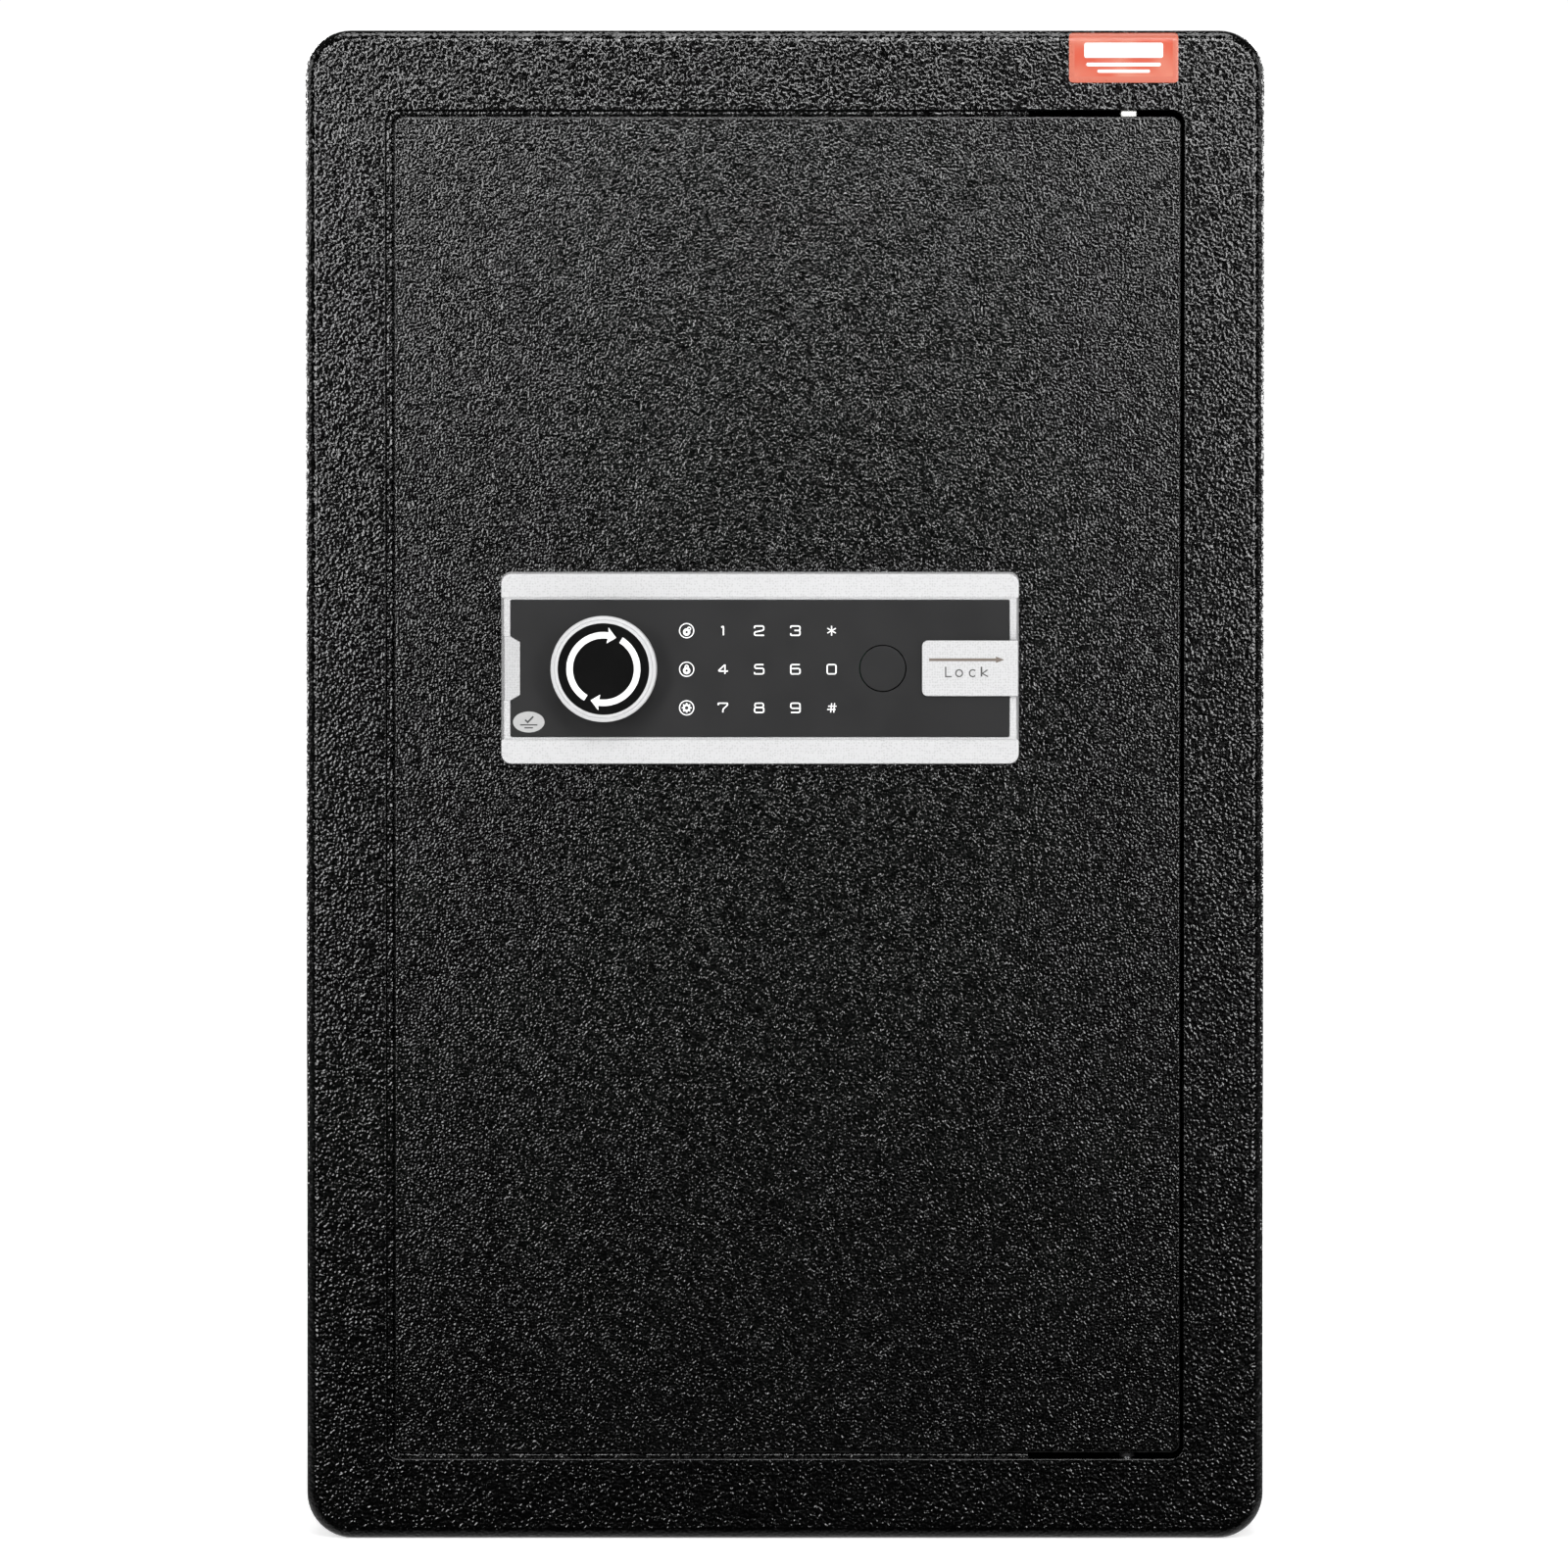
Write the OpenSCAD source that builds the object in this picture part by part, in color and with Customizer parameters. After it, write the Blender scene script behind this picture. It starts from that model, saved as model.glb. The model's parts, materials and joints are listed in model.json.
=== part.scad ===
// Electronic home safe: a bent steel cabinet with a flush inset door, three motor-free
// locking bolts worked by a knob through a rack and pinion, and an electronic lock panel.
// +X is the hinge side, -Y is the front, +Z is up. Origin: centre of the base, on the floor.

/* [Cabinet] */
// Overall width of the cabinet
body_w = 400; // [390:1:420]
// Overall height of the cabinet
body_h = 630; // [620:1:660]
// Overall depth of the cabinet, without the knob
body_d = 360; // [340:1:400]
// Radius of the long bent corners of the casing
body_r = 19; // [16:1:22]
// Thickness of the casing sheet
sheet = 2; // [1.5:0.5:2.5]
// Radius of the front frame's outer edge
frame_edge_r = 5; // [4:0.5:6]
// Thickness of the pressed front frame
frame_t = 3; // [2.5:0.5:3]
// Depth of the front frame's outer rim
frame_rim = 15; // [12:1:18]

/* [Door] */
// Width of the door opening
open_w = 333; // [330:0.5:334]
// Height of the door opening
open_h = 563; // [558:0.5:565]
// Corner radius of the door opening
open_r = 5.5; // [5:0.5:6]
// Width of the door plate
door_w = 328.5; // [327:0.5:329]
// Height of the door plate
door_h = 558; // [556:0.5:559]
// Sideways offset of the door plate from the centre of the opening
door_x = 1; // [0.5:0.1:1]
// Thickness of the door plate
plate_t = 4.5; // [4:0.1:4.7]
// Rounding of the door plate's front edge
door_edge_r = 2; // [1.9:0.1:2.5]
// Distance of the hinge axis from the middle of the cabinet
hinge_x = 143.3; // [142.5:0.1:143.5]
// Depth of the hinge axis behind the front face
hinge_in = 8; // [7.5:0.1:8]
// Depth of the door casing behind the door plate
tray_d = 38.5; // [38:0.5:40]

/* [Lock panel] */
// Width of the lock panel's bezel
bezel_w = 216; // [214:1:217]
// Height of the lock panel's bezel
bezel_h = 80; // [79:0.1:82]
// Height by which the bezel stands out from the door
bezel_out = 9; // [9:0.1:10]
// Centre of the lock panel across the door
bezel_x = -10.4; // [-11:0.1:-10]
// Centre height of the lock panel
bezel_z = 364.2; // [364:0.1:365]
// Width of the dark key panel
panel_w = 207.5; // [206:0.5:208]
// Height of the dark key panel
panel_h = 57; // [56:0.5:57]
// Outer diameter of the knob
knob_d = 44; // [42:0.5:46]
// Height by which the knob stands out from the key panel
knob_out = 17; // [14:1:20]
// Centre of the knob across the door
knob_x = -75.1; // [-76:0.1:-75]

/* [Bolt work] */
// Module of the pinion and rack teeth
tooth_m = 1.5; // [1.4:0.05:1.5]
// Number of pinion teeth
tooth_count = 18; // [18:1:18]
// Diameter of a locking bolt
bolt_d = 20; // [18:0.5:20]
// Height between neighbouring bolts
bolt_pitch = 185; // [180:1:190]
// Travel of the blocking plunger
plunger_travel = 7; // [6:0.5:7]

/* [Interior] */
// Height of the shelf's supports above the floor
shelf_z = 305; // [250:1:305]
// Distance across the door between floor anchor holes
floor_hole_x = 220; // [200:5:240]
// Distance front to back between floor anchor holes
floor_hole_y = 180; // [160:5:200]
// Distance across the back between wall anchor holes
wall_hole_x = 240; // [200:5:260]
// Height between wall anchor holes
wall_hole_z = 300; // [280:5:320]
// Radius of an anchor hole
anchor_r = 6; // [5:0.5:6]

/* [Hidden] */

front_y = -body_d / 2;
back_y = body_d / 2;
mid_z = body_h / 2;
open_top = mid_z + open_h / 2;
open_bottom = mid_z - open_h / 2;
hinge_y = front_y + hinge_in;
plate_back = front_y + plate_t;

// Door casing: the folded box behind the door plate
casing_left = -155;
casing_right = 155;
casing_top = mid_z + 267;
casing_bottom = mid_z - 267;
casing_back = plate_back + tray_d;
cover_t = 2;
cover_back = casing_back + cover_t;

// Screws of the door's back cover
screw_xs = [casing_left + 8, 0, casing_right - 8];
screw_zs = [casing_bottom + 8, casing_top - 8];

// Front label, which rolls over the frame's top edge
label_low = 607.9;
label_high = 628.6;
label_left = 118.3;
label_right = 163.8;
label_t = 0.4;

// Middle of the floor anchor holes, front to back
floor_holes_y = 20;

// Lip around the opening, and the stop that the door plate closes on
lip_t = 2.5;
lip_back = front_y + 12;
stop_reach = 6;
stop_front = front_y + 5.2;
stop_t = 3;
stop_end_x = 102;

// Shallow ledge that closes the gap beside the door's free edges
ledge_drop = 1.8;
ledge_gap = 0.5;
door_r = 4;

// Hinge pins, bushes and blocks
pin_r = 2.4;
bush_bore_r = 2.45;
bush_r = 3.2;
block_h = 16;
bush_gap = 0.3;

// Lock panel levels, counted back from the bezel's face
bezel_face = front_y - bezel_out;
bezel_draft = 1.3;
panel_face = bezel_face + 0.6;
panel_t = 2;
panel_back = panel_face + panel_t;
rim_back = panel_back + 1;
bezel_r = 4.8;
panel_z = 364;
cover_x = 77.2;
cover_w = 40.4;
cover_h = 23.1;
cover_plate_t = 1.7;
cover_z = bezel_z - 0.15;
cover_face = panel_face - 0.3 - cover_plate_t;
port_z = bezel_z - 0.2;
knob_z = bezel_z - 0.4;
keys_x = [-25.5, -10.6, 4.1, 19.4];
icon_x = -40.9;
keys_z = [379.7, 363.6, 347.6];
legend_t = 0.2;
disc_x = 40.7;
disc_d = 18.9;
barrel_x = 76;

// Cover of the emergency power socket: its outline narrows from the bezel's left edge inwards
port_outer = 26.7;
port_inner = 22;
port_left = -117.3;
port_bend = -114;
port_right = -110.2;

// Slide runners of the lock cover, from the middle of the cover
runner_z = 9.8;
runner_half = 0.8;
hook_z = 11.5;
recess_half = 10.9;
hook_recess_half = 12.6;

// The seven strokes of a digit: top, top left, top right, middle, low left, low right, bottom
SEGMENTS = [
    [-1, 1, 1, 1], [-1, 0, -1, 1], [1, 0, 1, 1], [-1, 0, 1, 0],
    [-1, -1, -1, 0], [1, -1, 1, 0], [-1, -1, 1, -1]];
// Strokes used by the digits 1 to 9, and the round of strokes that makes a zero
DIGITS = [
    [2, 5], [0, 2, 3, 4, 6], [0, 2, 3, 5, 6],
    [1, 2, 3, 5], [0, 1, 3, 5, 6], [0, 1, 3, 4, 5, 6],
    [0, 2, 5], [0, 1, 2, 3, 4, 5, 6], [0, 1, 2, 3, 5, 6]];
ZERO = [0, 1, 2, 4, 5, 6];
// Half the size of a printed figure
glyph = 1.93;

// Knob and spindle
knob_base = panel_face - 0.8;
knob_face_y = knob_base - knob_out;
spindle_r = 4;
spindle_bore_r = 4.05;
arrow_in = 12.65;
arrow_out = 15.3;
arrow_head = 3.3;
knob_face_r = 18.95;
arrow_mid = (arrow_in + arrow_out) / 2;

// Pinion and rack
pitch_r = tooth_m * tooth_count / 2;
bolt_travel = pitch_r * PI / 2;
pressure = 20;
base_r = pitch_r * cos(pressure);
tip_r = pitch_r + tooth_m;
root_r = pitch_r - 1.25 * tooth_m;
backlash = 0.14;
gear_front = plate_back + 3.5;
gear_t = 8;
rack_teeth = 11;
rack_pitch = tooth_m * PI;
rack_line = pitch_r;
rack_left = -rack_pitch * 4;

// Bolt carriage
carriage_y = front_y + 19;
carriage_t = 3;
flange_x = -116;
carriage_right = -70;
carriage_low = mid_z - 210;
carriage_high = mid_z + 210;
bolt_y = front_y + 25;
bolt_tip = -156;
stud_x = -104;
stud_z = [mid_z - 100, mid_z + 115];
slot_half = 3.1;

// Solenoid and its plunger
plunger_x = -22;
plunger_y = carriage_y + carriage_t / 2;
plunger_r = 3.5;
solenoid_z = 300;
solenoid_h = 34;
plunger_tip = 346;
arm_z = plunger_tip + 3;
arm_h = 14;
notch_half = 4.6;
spring_low = solenoid_z + solenoid_h;
spring_high = plunger_tip - 4;
spring_turns = 4;
spring_wire = 0.4;
spring_r = 4.3;
ring_sides = 6;
ring_count = 64;

// Battery compartment on the inner side of the door
battery_x = 45;
battery_z = 235;
cell_d = 14.5;
cell_l = 50.5;
box_w = 72;
box_h = 66;
box_d = 20;
lid_t = 1.8;
reset_x = 112;
reset_z = 235;

// Shelf
shelf_half = 190;
shelf_front = front_y + 56;
shelf_back = back_y - 8;
shelf_t = 1.5;

black_paint = [0.06, 0.06, 0.065];
silver = [0.82, 0.82, 0.82];
zinc = [0.7, 0.71, 0.72];
dark_grey = [0.22, 0.22, 0.22];
felt = [0.16, 0.16, 0.17];
white = [0.93, 0.93, 0.91];

// ---------------------------------------------------------------- shared shapes

function arc(cx, cy, r, start, sweep, steps) =
    [
        for (i = [0 : steps])
            let (a = start + sweep * i / steps)
                [cx + r * cos(a), cy + r * sin(a)]
    ];

function round_outline(w, h, r, steps = 8) = concat(
    arc(w / 2 - r, h / 2 - r, r, 0, 90, steps),
    arc(r - w / 2, h / 2 - r, r, 90, 90, steps),
    arc(r - w / 2, r - h / 2, r, 180, 90, steps),
    arc(w / 2 - r, r - h / 2, r, 270, 90, steps));

// A flat outline drawn in X and Z, made solid from y for a depth
module plate(y, depth) {
    translate([0, y + depth, 0])
        rotate([90, 0, 0])
            linear_extrude(height = depth)
                children();
}

module round_plate(x, y, z, w, h, r, depth) {
    translate([x, 0, z])
        plate(y, depth)
            polygon(round_outline(w, h, r));
}

// A rounded plate whose front edge is rolled over with a radius
module rolled_plate(x, y, z, w, h, r, edge, depth) {
    steps = 6;
    hull() {
        for (i = [0 : steps])
            round_plate(
                x, y + edge * (1 - cos(90 * i / steps)), z,
                w - 2 * edge * (1 - sin(90 * i / steps)),
                h - 2 * edge * (1 - sin(90 * i / steps)),
                max(r - edge * (1 - sin(90 * i / steps)), 0.6),
                depth - edge * (1 - cos(90 * i / steps)));
    }
}

// A box given by its lowest and highest corners
module block(low, high) {
    translate(low)
        cube(high - low);
}

module rod_x(x, y, z, length, r) {
    translate([x, y, z])
        rotate([0, 90, 0])
            cylinder(r = r, h = length, $fn = 64);
}

module rod_y(x, y, z, length, r) {
    translate([x, y + length, z])
        rotate([90, 0, 0])
            cylinder(r = r, h = length, $fn = 64);
}

module rod_z(x, y, z, length, r) {
    translate([x, y, z])
        cylinder(r = r, h = length, $fn = 64);
}

// Repeats its children at the four corners of a rectangle in X and Y
module corners_xy(dx, dy) {
    for (sx = [-1, 1])
        for (sy = [-1, 1])
            translate([sx * dx / 2, sy * dy / 2, 0])
                children();
}

// Flips its children about the middle height of the door
module mirrored_height() {
    translate([0, 0, 2 * mid_z])
        mirror([0, 0, 1])
            children();
}

// ---------------------------------------------------------------- cabinet

module body_shell() {
    color(black_paint)
        difference() {
            round_plate(0, front_y + frame_rim, mid_z, body_w, body_h, body_r, body_d - frame_rim);
            round_plate(
                0, front_y, mid_z, body_w - 2 * sheet, body_h - 2 * sheet, body_r - sheet, body_d + 10);
            translate([0, floor_holes_y, -5])
                corners_xy(floor_hole_x, floor_hole_y)
                    cylinder(r = anchor_r, h = 15, $fn = 64);
        }
}

module back_panel() {
    color(black_paint)
        difference() {
            round_plate(
                0, back_y - sheet, mid_z, body_w - 2 * sheet, body_h - 2 * sheet, body_r - sheet, sheet);
            for (sx = [-1, 1])
                for (sz = [-1, 1])
                    rod_y(sx * wall_hole_x / 2, back_y - 10, mid_z + sz * wall_hole_z / 2, 20, anchor_r);
        }
}

module front_frame() {
    color(black_paint)
        difference() {
            union() {
                difference() {
                    rolled_plate(
                        0, front_y, mid_z, body_w, body_h, body_r, frame_edge_r, frame_rim);
                    round_plate(
                        0, front_y + frame_t, mid_z, body_w - 2 * frame_t, body_h - 2 * frame_t,
                        body_r - frame_t, body_d);
                }
                round_plate(
                    0, front_y + frame_t, mid_z, open_w + 2 * lip_t, open_h + 2 * lip_t,
                    open_r + lip_t, lip_back - front_y - frame_t);
            }
            round_plate(0, front_y - 1, mid_z, open_w, open_h, open_r, body_d);
            rod_z(hinge_x, hinge_y, open_top - 5, 20, pin_r);
            rod_z(hinge_x, hinge_y, open_bottom - 15, 20, pin_r);
        }
}

module door_stop() {
    color(black_paint)
        difference() {
            round_plate(0, stop_front, mid_z, open_w, open_h, open_r, stop_t);
            round_plate(
                0, front_y, mid_z, open_w - 2 * stop_reach, open_h - 2 * stop_reach, 3, body_d);
            block([stop_end_x, front_y, 0], [body_w, back_y, body_h]);
        }
}

module opening_ledge() {
    color(black_paint)
        difference() {
            round_plate(
                0, front_y + ledge_drop, mid_z, open_w, open_h, open_r, stop_front - front_y - ledge_drop);
            round_plate(
                door_x, front_y, mid_z, door_w + 2 * ledge_gap, door_h + 2 * ledge_gap,
                door_r + ledge_gap, body_d);
            block([stop_end_x, front_y, 0], [body_w, back_y, body_h]);
        }
}

module hinge_bracket() {
    difference() {
        block([126, front_y + frame_t, open_top + lip_t], [161, front_y + 22, open_top + lip_t + 4]);
        rod_z(hinge_x, hinge_y, open_top, 20, pin_r);
    }
}

module top_hinge_bracket() {
    color(black_paint)
        hinge_bracket();
}

module bottom_hinge_bracket() {
    color(black_paint)
        mirrored_height()
            hinge_bracket();
}

module hinge_pin() {
    pin_low = casing_top - 14;
    pin_high = open_top + lip_t + 4;
    rod_z(hinge_x, hinge_y, pin_low, pin_high - pin_low, pin_r);
    rod_z(hinge_x, hinge_y, pin_high, 2, pin_r + 1.6);
}

module top_hinge_pin() {
    color(zinc)
        hinge_pin();
}

module bottom_hinge_pin() {
    color(zinc)
        mirrored_height()
            hinge_pin();
}

module shelf_rail() {
    wall = body_w / 2 - sheet;
    block([-wall, shelf_front + 8, shelf_z - 15], [-wall + 2, shelf_back - 8, shelf_z]);
    block([-wall, shelf_front + 8, shelf_z - 2], [-wall + 14, shelf_back - 8, shelf_z]);
}

module left_shelf_rail() {
    color(black_paint)
        shelf_rail();
}

module right_shelf_rail() {
    color(black_paint)
        mirror([1, 0, 0])
            shelf_rail();
}

module floor_mat() {
    color(felt)
        translate([0, 7, sheet])
            difference() {
                linear_extrude(height = 3)
                    polygon(round_outline(352, 334, 6));
                translate([0, floor_holes_y - 7, -1])
                    corners_xy(floor_hole_x, floor_hole_y)
                        cylinder(r = anchor_r + 3, h = 6, $fn = 48);
            }
}

module front_label() {
    color([0.86, 0.15, 0.08])
        intersection() {
            difference() {
                rolled_plate(
                    0, front_y - label_t, mid_z, body_w + 2 * label_t, body_h + 2 * label_t,
                    body_r + label_t, frame_edge_r + label_t, frame_rim);
                rolled_plate(
                    0, front_y, mid_z, body_w, body_h, body_r, frame_edge_r, frame_rim);
            }
            block([label_left, front_y - 1, label_low], [label_right, front_y + 4, label_high]);
        }
}

// ---------------------------------------------------------------- shelf

module shelf() {
    color(black_paint) {
        difference() {
            block([-shelf_half - 4, shelf_front, shelf_z], [shelf_half + 4, shelf_back, shelf_z + shelf_t]);
            for (sx = [-1, 1])
                block(
                    [sx * (shelf_half + 5) - 12, shelf_front - 1, shelf_z - 1],
                    [sx * (shelf_half + 5) + 12, shelf_front + 8, shelf_z + 5]);
        }
        block(
            [-shelf_half + 8, shelf_front, shelf_z - 14],
            [shelf_half - 8, shelf_front + shelf_t, shelf_z + shelf_t]);
        block(
            [-shelf_half + 8, shelf_back - shelf_t, shelf_z - 14],
            [shelf_half - 8, shelf_back, shelf_z + shelf_t]);
    }
}

module shelf_mat() {
    mat_d = shelf_back - shelf_front - 16;
    color(felt)
        translate([0, (shelf_front + shelf_back) / 2, shelf_z + shelf_t])
            linear_extrude(height = 2)
                polygon(round_outline(2 * shelf_half - 18, mat_d, 5));
}

// ---------------------------------------------------------------- door

module door_plate() {
    color(black_paint)
        difference() {
            rolled_plate(door_x, front_y, mid_z, door_w, door_h, door_r, door_edge_r, plate_t);
            rod_y(knob_x, front_y - 5, knob_z, 15, 6);
            rod_y(barrel_x, front_y - 5, cover_z, 15, 8);
            rod_y(disc_x, front_y - 5, bezel_z - 14, 15, 6);
        }
}

module door_casing() {
    wall = 2;
    lip = 14;
    color(black_paint)
        difference() {
            block([casing_left, plate_back, casing_bottom], [casing_right, casing_back, casing_top]);
            block(
                [casing_left + wall, plate_back - 1, casing_bottom + wall],
                [casing_right - wall, casing_back - wall, casing_top - wall]);
            block(
                [casing_left + lip, plate_back, casing_bottom + lip],
                [casing_right - lip, casing_back + 1, casing_top - lip]);
            for (i = [-1 : 1])
                rod_x(casing_left - 5, bolt_y, mid_z + i * bolt_pitch, 12, 11.5);
            rod_z(hinge_x, hinge_y, casing_top - 6, 12, bush_r);
            rod_z(hinge_x, hinge_y, casing_bottom - 6, 12, bush_r);
            for (x = screw_xs)
                for (z = screw_zs)
                    rod_y(x, casing_back - 5, z, 10, 1.6);
        }
}

module door_back_cover() {
    color(black_paint)
        difference() {
            round_plate(
                0, casing_back, mid_z, casing_right - casing_left, casing_top - casing_bottom, 1.5, cover_t);
            for (x = screw_xs)
                for (z = screw_zs)
                    rod_y(x, casing_back - 5, z, 10, 2.1);
            block(
                [battery_x - box_w / 2, casing_back - 1, battery_z - box_h / 2],
                [battery_x + box_w / 2, cover_back + 1, battery_z + box_h / 2]);
            rod_y(reset_x, casing_back - 5, reset_z, 10, 4.2);
        }
}

module cover_screws() {
    color(zinc)
        for (x = screw_xs)
            for (z = screw_zs)
                difference() {
                    union() {
                        rod_y(x, casing_back - 5, z, cover_t + 5, 1.6);
                        rod_y(x, cover_back, z, 1.4, 3.4);
                    }
                    block([x - 2, cover_back + 0.6, z - 0.4], [x + 2, cover_back + 3, z + 0.4]);
                    block([x - 0.4, cover_back + 0.6, z - 2], [x + 0.4, cover_back + 3, z + 2]);
                }
}

module hinge_block() {
    difference() {
        block(
            [hinge_x - 9.3, plate_back, casing_top - 2 - block_h],
            [casing_right - 2, hinge_y + 8, casing_top - 2]);
        rod_z(hinge_x, hinge_y, casing_top - 30, 40, bush_r);
    }
}

module hinge_blocks() {
    color(zinc) {
        hinge_block();
        mirrored_height()
            hinge_block();
    }
}

module hinge_bush() {
    bush_low = casing_top - 2 - block_h;
    bush_high = open_top - bush_gap;
    difference() {
        rod_z(hinge_x, hinge_y, bush_low, bush_high - bush_low, bush_r);
        rod_z(hinge_x, hinge_y, bush_low - 1, bush_high - bush_low + 2, bush_bore_r);
    }
}

module top_hinge_bush() {
    color(white)
        hinge_bush();
}

module bottom_hinge_bush() {
    color(white)
        mirrored_height()
            hinge_bush();
}

module guide_studs() {
    color(zinc)
        for (z = stud_z) {
            rod_y(stud_x, plate_back, z, carriage_y - 0.3 - plate_back, 5);
            rod_y(stud_x, carriage_y - 0.3, z, carriage_t + 0.6, 3);
            rod_y(stud_x, carriage_y + carriage_t + 0.3, z, 2.5, 5.5);
        }
}

module bolt_sleeves() {
    color(dark_grey)
        for (i = [-1 : 1])
            difference() {
                union() {
                    rod_x(casing_left - 1, bolt_y, mid_z + i * bolt_pitch, 1, 13);
                    rod_x(casing_left, bolt_y, mid_z + i * bolt_pitch, 6, 11.5);
                }
                rod_x(casing_left - 5, bolt_y, mid_z + i * bolt_pitch, 15, bolt_d / 2 + 0.1);
            }
}

// ---------------------------------------------------------------- lock panel

// Outline of the emergency power cover, grown all round by a clearance
function port_outline(grow) = [
    [port_left - grow, -port_outer / 2 - grow],
    [port_bend, -port_outer / 2 - grow],
    [port_right + grow, -port_inner / 2 - grow],
    [port_right + grow, port_inner / 2 + grow],
    [port_bend, port_outer / 2 + grow],
    [port_left - grow, port_outer / 2 + grow]];

module lock_bezel() {
    color(silver)
        difference() {
            hull() {
                round_plate(
                    bezel_x, bezel_face, bezel_z, bezel_w - 2 * bezel_draft, bezel_h - 2 * bezel_draft,
                    bezel_r - bezel_draft, 0.1);
                round_plate(bezel_x, front_y - 0.1, bezel_z, bezel_w, bezel_h, bezel_r, 0.1);
            }
            round_plate(
                bezel_x, rim_back, bezel_z, bezel_w - 6, bezel_h - 6, 3, bezel_out);
            round_plate(bezel_x, bezel_face - 1, panel_z, panel_w, panel_h, 1, panel_back - bezel_face + 1);
            round_plate(bezel_x, bezel_face, panel_z, panel_w - 8, panel_h - 8, 1, bezel_out);
            block(
                [cover_x - cover_w / 2 + 1.5, bezel_face - 1, cover_z - recess_half],
                [110, front_y - 0.9, cover_z + recess_half]);
            block(
                [93, rim_back, cover_z - hook_recess_half],
                [110, front_y - 0.9, cover_z + hook_recess_half]);
            block(
                [cover_x + cover_w / 2 - 4.3, bezel_face - 1, cover_z - cover_h / 2 - 0.3],
                [110, panel_face, cover_z + cover_h / 2 + 0.3]);
            block(
                [cover_x + cover_w / 2 - 2.3, bezel_face - 1, cover_z - cover_h / 2 - 0.3],
                [110, front_y - 0.9, cover_z + cover_h / 2 + 0.3]);
            translate([0, 0, port_z])
                plate(bezel_face - 1, bezel_out)
                    polygon(concat([[-125, -port_outer / 2 - 0.15]], port_outline(0.15),
                        [[-125, port_outer / 2 + 0.15]]));
        }
}

module key_panel() {
    color(dark_grey)
        difference() {
            round_plate(bezel_x, panel_face, panel_z, panel_w - 0.2, panel_h - 0.2, 1, panel_t);
            rod_y(knob_x, panel_face - 1, knob_z, 5, 6.5);
            block(
                [cover_x - cover_w / 2 + 1.5, panel_face - 1, cover_z - recess_half],
                [110, panel_back + 1, cover_z + recess_half]);
            translate([0, 0, port_z])
                plate(panel_face - 1, panel_t + 2)
                    polygon(port_outline(0.15));
        }
}

// One straight stroke of a legend, in X and Z
module stroke(x0, z0, x1, z1, w = 0.85) {
    run = norm([x1 - x0, z1 - z0]);
    translate([x0, panel_face - legend_t, z0])
        rotate([0, -atan2(z1 - z0, x1 - x0), 0])
            translate([-w / 2, 0, -w / 2])
                cube([run + w, legend_t, w]);
}

module digit(x, z, value) {
    for (s = DIGITS[value - 1])
        stroke(
            x + glyph * SEGMENTS[s][0], z + glyph * SEGMENTS[s][1],
            x + glyph * SEGMENTS[s][2], z + glyph * SEGMENTS[s][3]);
}

module key_ring(x, z) {
    difference() {
        rod_y(x, panel_face - legend_t, z, legend_t, 3.2);
        rod_y(x, panel_face - 1, z, 3, 2.7);
    }
}

module key_legends() {
    color(white) {
        for (row = [0 : 2]) {
            for (column = [0 : 2])
                digit(keys_x[column], keys_z[row], 3 * row + column + 1);
            key_ring(icon_x, keys_z[row]);
            rod_y(icon_x, panel_face - legend_t, keys_z[row], legend_t, 1.1);
        }
        for (turn = [0 : 2])
            stroke(
                keys_x[3] - glyph * cos(60 * turn), keys_z[0] - glyph * sin(60 * turn),
                keys_x[3] + glyph * cos(60 * turn), keys_z[0] + glyph * sin(60 * turn));
        for (s = ZERO)
            stroke(
                keys_x[3] + glyph * SEGMENTS[s][0], keys_z[1] + glyph * SEGMENTS[s][1],
                keys_x[3] + glyph * SEGMENTS[s][2], keys_z[1] + glyph * SEGMENTS[s][3]);
        for (side = [-1, 1]) {
            stroke(
                keys_x[3] + side * 0.9, keys_z[2] - glyph, keys_x[3] + side * 0.9, keys_z[2] + glyph);
            stroke(
                keys_x[3] - glyph, keys_z[2] + side * 0.9, keys_x[3] + glyph, keys_z[2] + side * 0.9);
        }
    }
}

module blank_disc() {
    color(dark_grey)
        rod_y(disc_x, panel_face - 0.3, bezel_z - 0.2, 0.3, disc_d / 2);
}

module check_sticker() {
    color([0.6, 0.6, 0.6])
        translate([-106.6, 0, 341.7])
            plate(panel_face - 0.15, 0.15)
                polygon([for (a = [0 : 9 : 351]) [6.55 * cos(a), 4.35 * sin(a)]]);
}

module circuit_board() {
    color([0.1, 0.32, 0.16])
        block([-54, rim_back + 1.2, bezel_z - 23], [34, rim_back + 2.8, bezel_z + 22]);
}

module spindle_bearing() {
    color(white)
        difference() {
            union() {
                rod_y(knob_x, front_y - 1.5, knob_z, 1.5, 9);
                rod_y(knob_x, front_y, knob_z, plate_t, 6);
            }
            rod_y(knob_x, front_y - 5, knob_z, 20, spindle_bore_r);
        }
}

module lock_barrel() {
    color(zinc)
        difference() {
            union() {
                rod_y(barrel_x, front_y - 3, cover_z, 3, 9.5);
                rod_y(barrel_x, front_y, cover_z, 20, 8);
            }
            rod_y(barrel_x, front_y - 5, cover_z, 30, 5.05);
        }
}

module power_socket() {
    color(zinc)
        difference() {
            block([-109.5, front_y - 5.5, port_z - 4.6], [-101.5, front_y - 1.5, port_z + 4.6]);
            block([-110, front_y - 4.9, port_z - 4], [-103, front_y - 2.1, port_z + 4]);
        }
}

// ---------------------------------------------------------------- knob and bolt work

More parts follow.
